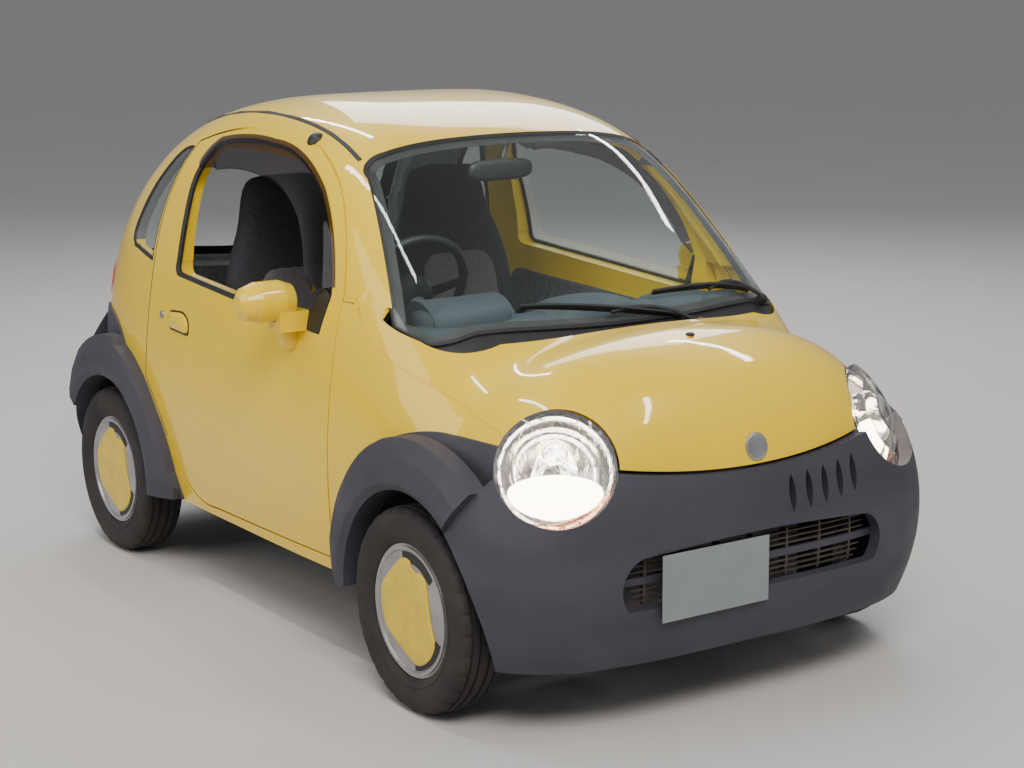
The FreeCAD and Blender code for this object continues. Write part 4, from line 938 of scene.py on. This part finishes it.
# Tyres, as (across, radius) from the middle of the tread to the outer bead
TREAD = 0.2597
GROOVE = 0.2527
TYRE_HALF = [(0.0, TREAD), (0.01, TREAD), (0.012, GROOVE), (0.017, GROOVE), (0.019, TREAD), (0.034, TREAD),
             (0.036, GROOVE), (0.04, GROOVE), (0.042, TREAD - 0.001), (0.054, TREAD - 0.004),
             (0.0615, TREAD - 0.011), (0.0655, 0.24), (0.0672, 0.222), (0.0662, 0.204), (0.063, 0.192),
             (0.0645, 0.19), (0.06, 0.179), (0.0545, 0.1695)]
TYRE_PROFILE = [(-across, radius) for across, radius in reversed(TYRE_HALF[1:])] + TYRE_HALF
TYRE_STEPS = 150
TYRE_SHARP = 28.0
BLOCK_STEPS = 5
BLOCK_CUT = 0.0045
SHOULDER_X = 0.041
SHOULDER_RADIUS = 0.245


def make_tyre(ending, centre, body):
    """A tyre with grooves round it and cuts across its shoulders."""
    rings = []
    for k, angle in enumerate(full_turn(TYRE_STEPS)):
        ring = []
        for across, radius in TYRE_PROFILE:
            on_shoulder = abs(across) > SHOULDER_X and radius > SHOULDER_RADIUS
            if on_shoulder and k % BLOCK_STEPS == 0:
                radius -= BLOCK_CUT
            ring.append(Vector((centre.x + across, centre.y + radius * math.cos(angle),
                                centre.z + radius * math.sin(angle))))
        rings.append(ring)
    tyre = loft("tread_" + ending, rings, TYRE, body, endless=True, sharp=TYRE_SHARP)
    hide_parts("tyre_" + ending)


# Wheel covers. The painted middle is given as degrees above the forward direction and share of the radius
COVER_RADIUS = 0.162
COVER_MIDDLE = ((112, 0.8), (99, 0.83), (88, 0.79), (86, 0.68), (72, 0.66), (67, 0.73), (53, 0.74),
                (46, 0.69), (20, 0.57), (-8, 0.6), (-27, 0.8), (-45, 0.84), (-62, 0.85), (-76, 0.85),
                (-86, 0.8), (-116, 0.7), (-147, 0.81), (-163, 0.84), (-183, 0.85), (-196, 0.86),
                (-218, 0.77))
COVER_ROUNDING = 0.1
COVER_SLOTS = ((44, 104), (-82, -22))
SLOT_INNER = 0.76
SLOT_OUTER = 0.92
SLOT_STEPS = 14
DISH_FACE = 0.0525
DISH = [(CORE, 0.044), (0.142, 0.044), (0.142, 0.0523), (COVER_RADIUS, 0.0523), (COVER_RADIUS, 0.0568),
        (0.154, 0.0568), (0.15, DISH_FACE), (CORE, DISH_FACE)]
MARKS = 6
MARK_CIRCLE = 0.2
MARK_PROUD = 0.0046
MARK = [(CORE, -0.002), (0.0065, -0.002), (0.0055, 0.0012), (CORE, 0.0004)]


def polar(degrees, share):
    return share * math.cos(math.radians(degrees)), share * math.sin(math.radians(degrees))


def make_cover(ending, hub, side, body):
    """A grey dish with a painted middle of three lobes, two dark slots and small marks round the hub."""
    out = Vector((side, 0.0, 0.0))

    def face_point(ahead, above):
        return hub + Vector((side * DISH_FACE, -ahead * COVER_RADIUS, above * COVER_RADIUS)), out

    dish = turned("cover_dish_" + ending, DISH, hub, out, STEEL, body, steps=96)
    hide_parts("cover_" + ending)
    for k, (start, end) in enumerate(COVER_SLOTS):
        degrees = [start + (end - start) * step / SLOT_STEPS for step in range(SLOT_STEPS + 1)]
        outline = [polar(d, SLOT_OUTER) for d in degrees] + [polar(d, SLOT_INNER) for d in reversed(degrees)]
        plate_on("cover_slot_%s_%d" % (ending, k), outline, face_point, 0.0006, RUBBER, body)
    middle = rounded([polar(degrees, share) for degrees, share in COVER_MIDDLE], COVER_ROUNDING, steps=4)
    plate_on("cover_middle_" + ending, middle, face_point, 0.0045, COVER, body, bevel=0.0025)
    for k in range(MARKS):
        ahead, above = polar(360 / MARKS * (k + 0.5), MARK_CIRCLE)
        spot = face_point(ahead, above)[0] + out * MARK_PROUD
        turned("cover_mark_%s_%d" % (ending, k), MARK, spot, out, COVER, body, steps=16)


for place in ("front", "rear"):
    for name, side in SIDES:
        ending = "%s_%s" % (place, name)
        low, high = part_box("tyre_" + ending)
        centre = (low + high) / 2
        make_tyre(ending, centre, "wheel_" + ending)
        make_cover(ending, centre, side, "wheel_" + ending)

# Steering wheel
STEERING_CENTRE = Vector((-0.315, -0.235, 0.93))
COLUMN_TILT = math.radians(28.0)
RIM_THICKNESS = 0.0135
RIM_INSET = 0.014
RIM_POINTS = 14
PAD = [(CORE, -0.03), (0.04, -0.03), (0.062, -0.018), (0.07, 0.002), (0.064, 0.03), (0.04, 0.046),
       (CORE, 0.046)]
PAD_SHIFT = 0.01
SPOKES = ((1.0, 0.18), (-1.0, 0.18), (0.42, -0.9), (-0.42, -0.9))
SPOKE_RADII = (0.05, 0.09, 0.13)
SPOKE_WIDTHS = [0.044, 0.034, 0.028, 0.026]
SPOKE_SUNK = 0.018
SPOKE_RISE = 0.1
column = Vector((0.0, -math.cos(COLUMN_TILT), -math.sin(COLUMN_TILT)))
wheel_up = column.cross(LEFT).normalized()
wheel_low, wheel_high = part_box("steering_wheel")
wheel_radius = (wheel_high.x - wheel_low.x) / 2 - RIM_INSET
rim_section = [(wheel_radius + RIM_THICKNESS * math.cos(angle), RIM_THICKNESS * math.sin(angle))
               for angle in full_turn(RIM_POINTS)]
steering_rim = turned("steering_rim", rim_section, STEERING_CENTRE, column, BLACK, "steering_body", steps=90)
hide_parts("steering_wheel")
turned("steering_pad", PAD, STEERING_CENTRE + column * PAD_SHIFT, column, BLACK, "steering_body", steps=48)
for k, (across, over) in enumerate(SPOKES):
    way = (LEFT * across + wheel_up * over).normalized()
    spoke = []
    for radius in (*SPOKE_RADII, wheel_radius - 0.004):
        depth = SPOKE_SUNK - SPOKE_RISE * (radius - SPOKE_RADII[0])
        spoke.append((STEERING_CENTRE + way * radius + column * depth, -column))
    bar("steering_spoke_%d" % k, spoke, SPOKE_WIDTHS, 0.01, BLACK, "steering_body", -0.004)

# Inner mirror, and humps on the dashboard as (name, centre, radii, squareness)
blob("inner_mirror", (-0.055, -0.315, 1.262), (0.105, 0.016, 0.03), BLACK, "root", power=3.2)
STEM = ((-0.02, -0.3, 1.335), (-0.035, -0.3, 1.3), (-0.05, -0.31, 1.275))
tube("inner_mirror_stem", [Vector(point) for point in STEM], 0.007, BLACK, "root")
HUMPS = (("dash_hump_middle", (0.055, -0.545, 0.872), (0.175, 0.105, 0.06), 2.3),
         ("dash_hump_left", (0.385, -0.56, 0.868), (0.14, 0.095, 0.045), 2.6),
         ("dash_hood", (-0.315, -0.52, 0.895), (0.15, 0.085, 0.055), 2.6))
for name, centre, radii, power in HUMPS:
    blob(name, centre, radii, DASH, "root", power=power)

# Door trims with an armrest and an inner handle each
TRIM = [(-0.4, 0.345), (0.3, 0.345), (0.42, 0.375), (0.5, 0.445), (0.56, 0.54), (0.6, 0.8),
        (0.56, 0.835), (-0.36, 0.8), (-0.4, 0.77)]
ARMREST_CENTRE = (0.59, 0.14, 0.64)
ARMREST_RADII = (0.032, 0.19, 0.028)
INNER_HANDLE_CENTRE = (0.588, -0.14, 0.74)
INNER_HANDLE_RADII = (0.012, 0.045, 0.012)
for name, side in SIDES:
    body = "door_body_" + name
    plate_on("door_trim_" + name, rounded(TRIM, 0.03), on_door_inside, 0.008, LINING, body, side, sink=0.002)
    blob("armrest_" + name, ARMREST_CENTRE, ARMREST_RADII, DASH, body, side, power=3.4)
    blob("inner_handle_" + name, INNER_HANDLE_CENTRE, INNER_HANDLE_RADII, BLACK, body, side, power=3.0)

# Tail: lamp over the plate, hatch knob, and the amber and clear parts of the tail lamps
PLATE_LAMP_Z = 0.572
PLATE_LAMP_UNDER = 0.004
PLATE_LAMP_PROUD = 0.002
PLATE_LAMP_RADII = (0.11, 0.014, 0.012)
KNOB_Z = 0.905
KNOB = [(CORE, -0.003), (0.02, -0.003), (0.02, 0.004), (0.016, 0.007), (0.016, 0.018), (0.012, 0.021),
        (CORE, 0.021)]
TAIL_LAMP_AT = (0.547, 0.824)
TAIL_LAMP_HALF = (0.036, 0.052)
SLICE_STEPS = 12


def lamp_slice(low_share, high_share):
    """The part of the oval lamp between two shares of its half height, as an outline."""
    outer = []
    inner = []
    for k in range(SLICE_STEPS + 1):
        share = low_share + (high_share - low_share) * k / SLICE_STEPS
        half = TAIL_LAMP_HALF[0] * math.sqrt(1 - share * share)
        z = TAIL_LAMP_AT[1] + TAIL_LAMP_HALF[1] * share
        outer.append((TAIL_LAMP_AT[0] + half, z))
        inner.append((TAIL_LAMP_AT[0] - half, z))
    return outer + list(reversed(inner))


tail_point = on_back(0.0, PLATE_LAMP_Z - PLATE_LAMP_UNDER)[0]
plate_lamp_centre = (0.0, tail_point.y + PLATE_LAMP_PROUD, PLATE_LAMP_Z)
blob("plate_lamp", plate_lamp_centre, PLATE_LAMP_RADII, BLACK, "root", power=3.0)
knob_point, knob_normal = on_back(0.0, KNOB_Z)
turned("hatch_knob", KNOB, knob_point, knob_normal, BLACK, "hatch_body", steps=36)
amber_part = lamp_slice(0.3, 0.97)
reversing_part = lamp_slice(-0.97, -0.45)
for name, side in SIDES:
    plate_on("amber_part_" + name, amber_part, on_tail_lamp, 0.0016, AMBER, "root", side)
    plate_on("reversing_part_" + name, reversing_part, on_tail_lamp, 0.0016, REVERSING, "root", side)

# Seats. The back and the base are given as (share of the way, half width, half thickness)
BACK_SECTIONS = ((0.0, 0.17, 0.03), (0.02, 0.205, 0.052), (0.12, 0.222, 0.062), (0.3, 0.226, 0.064),
                 (0.5, 0.222, 0.06), (0.64, 0.205, 0.056), (0.74, 0.172, 0.052), (0.82, 0.148, 0.05),
                 (0.92, 0.138, 0.046), (0.985, 0.118, 0.034), (1.0, 0.085, 0.016))
BASE_SECTIONS = ((0.0, 0.19, 0.02), (0.03, 0.22, 0.048), (0.15, 0.234, 0.06), (0.45, 0.236, 0.06),
                 (0.8, 0.232, 0.062), (0.97, 0.215, 0.05), (1.0, 0.19, 0.024))
BACK_FOOT = Vector((0.288, 0.386, 0.47))
BACK_HEAD = Vector((0.288, 0.53, 1.2))
BACK_BOW = 0.018
BACK_SQUARENESS = 3.0
BASE_FRONT = Vector((0.3, -0.11, 0.462))
BASE_REAR = Vector((0.3, 0.36, 0.43))
BASE_OUT = Vector((0.0, 0.07, 1.0)).normalized()
BASE_SQUARENESS = 3.4
PANEL_WIDTH = 0.62
PANEL_SUNK = 0.01
PANEL_HALF_THICKNESS = 0.016
PANEL_SQUARENESS = 3.6
SEAT_POINTS = 40
SEAT_SHARP = 80.0
FRAME_CORNERS = ((0.14, -0.03), (0.46, -0.03), (0.46, 0.36), (0.14, 0.36))
FRAME_LOW_Z = 0.24
FRAME_HIGH_Z = 0.41


def pad(name, sections, look, side):
    """A padded piece; a section is (centre, half width, thickness direction, half thickness, squareness)."""
    rings = []
    for centre, half_width, out, half_thick, power in sections:
        rings.append([centre + LEFT * half_width * signed_power(math.cos(angle), ROUND / power)
                      + out * half_thick * signed_power(math.sin(angle), ROUND / power)
                      for angle in full_turn(SEAT_POINTS)])
    made = loft(name, rings, look, "root", side, sharp=SEAT_SHARP)
    smooth = made.modifiers.new("smooth", "SUBSURF")
    smooth.levels = 1
    smooth.render_levels = 1
    return made


lean = (BACK_HEAD - BACK_FOOT).normalized()
back_out = Vector((0.0, -lean.z, lean.y))
back_sections = []
for share, half_width, thick in BACK_SECTIONS:
    bow = BACK_BOW * math.sin(math.pi * share)
    centre = BACK_FOOT.lerp(BACK_HEAD, share) - back_out * bow
    back_sections.append((centre, half_width, back_out, thick, BACK_SQUARENESS))
base_sections = []
for share, half_width, thick in BASE_SECTIONS:
    base_sections.append((BASE_FRONT.lerp(BASE_REAR, share), half_width, BASE_OUT, thick, BASE_SQUARENESS))
panel_sections = []
for centre, half_width, out, thick, power in back_sections[2:6]:
    panel_sections.append((centre + out * (thick - PANEL_SUNK), half_width * PANEL_WIDTH, out,
                           PANEL_HALF_THICKNESS, PANEL_SQUARENESS))
frame_low = [Vector((x, y, FRAME_LOW_Z)) for x, y in FRAME_CORNERS]
frame_high = [Vector((x, y, FRAME_HIGH_Z)) for x, y in FRAME_CORNERS]
for name, side in SIDES:
    back_pad = pad("seat_back_pad_" + name, back_sections, SEAT_CLOTH, side)
    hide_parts("seat_" + name)
    pad("seat_base_pad_" + name, base_sections, SEAT_CLOTH, side)
    pad("seat_centre_panel_" + name, panel_sections, SEAT_CENTRE, side)
    loft("seat_frame_" + name, [frame_low, frame_high], SEAT_FRAME, "root", side)

# Floor and sky
FLOOR_SIZE = 400.0
FLOOR_Z = -0.001
bpy.ops.mesh.primitive_plane_add(size=FLOOR_SIZE, location=(0.0, 0.0, FLOOR_Z))
floor = bpy.context.object
floor.name = "floor"
floor_finish = material("floor", (0.56, 0.54, 0.52), 0.8)
mottle(floor_finish, 1.2, light=(0.565, 0.545, 0.525), dark=(0.55, 0.53, 0.512))
floor.data.materials.append(floor_finish)
world = bpy.data.worlds.new("sky")
bpy.context.scene.world = world
world.use_nodes = True
set_inputs(world.node_tree.nodes["Background"], {"Color": (0.93, 0.95, 1.0, 1.0), "Strength": 0.33})

# Studio lights: three soft ones, and four tubes overhead that show as bright lines in the paint
TUBE_PLACES = ((1.2, -3.4), (3.4, 1.0), (-1.6, 0.6), (0.4, 3.2))
TUBE_Z = 4.2


def area_light(name, place, aim, width, height, power, color):
    lamp = bpy.data.lights.new(name, "AREA")
    lamp.shape = "RECTANGLE"
    lamp.size = width
    lamp.size_y = height
    lamp.energy = power
    lamp.color = color
    holder = bpy.data.objects.new(name, lamp)
    bpy.context.collection.objects.link(holder)
    holder.location = place
    holder.rotation_euler = (Vector(aim) - Vector(place)).to_track_quat("-Z", "Y").to_euler()


area_light("key light", (-3.0, -5.5, 6.0), (0.0, 0.0, 0.6), 4.0, 3.0, 490.0, (1.0, 0.96, 0.9))
area_light("fill light", (-7.0, 1.0, 4.0), (0.0, 0.0, 0.6), 5.0, 4.0, 170.0, (1.0, 0.98, 0.95))
area_light("rim light", (4.0, 5.0, 5.0), (0.0, 0.0, 0.7), 4.0, 3.0, 200.0, (1.0, 1.0, 1.0))
for k, (x, y) in enumerate(TUBE_PLACES):
    area_light("tube %d" % k, (x, y, TUBE_Z), (x, y, 0.0), 0.14, 2.6, 42.0, (0.96, 0.98, 1.0))

# Camera, where the photo was taken from
CAMERA_PLACE = Vector((-3.2083, -4.9883, 1.7952))
CAMERA_YAW = math.radians(34.31)
CAMERA_PITCH = math.radians(11.39)
CAMERA_ROLL = math.radians(-0.35)
CAMERA_LENS = 71.8
flat = Vector((math.sin(CAMERA_YAW), math.cos(CAMERA_YAW), 0.0))
ahead = flat * math.cos(CAMERA_PITCH) - UP * math.sin(CAMERA_PITCH)
level = Vector((math.cos(CAMERA_YAW), -math.sin(CAMERA_YAW), 0.0))
upright = level.cross(ahead)
across = level * math.cos(CAMERA_ROLL) + upright * math.sin(CAMERA_ROLL)
over = upright * math.cos(CAMERA_ROLL) - level * math.sin(CAMERA_ROLL)
camera_data = bpy.data.cameras.new("camera")
camera_data.lens = CAMERA_LENS
camera_data.sensor_width = 36.0
camera = bpy.data.objects.new("camera", camera_data)
bpy.context.collection.objects.link(camera)
turn = Matrix((across, over, -ahead)).transposed().to_4x4()
camera.matrix_world = Matrix.Translation(CAMERA_PLACE) @ turn
bpy.context.scene.camera = camera
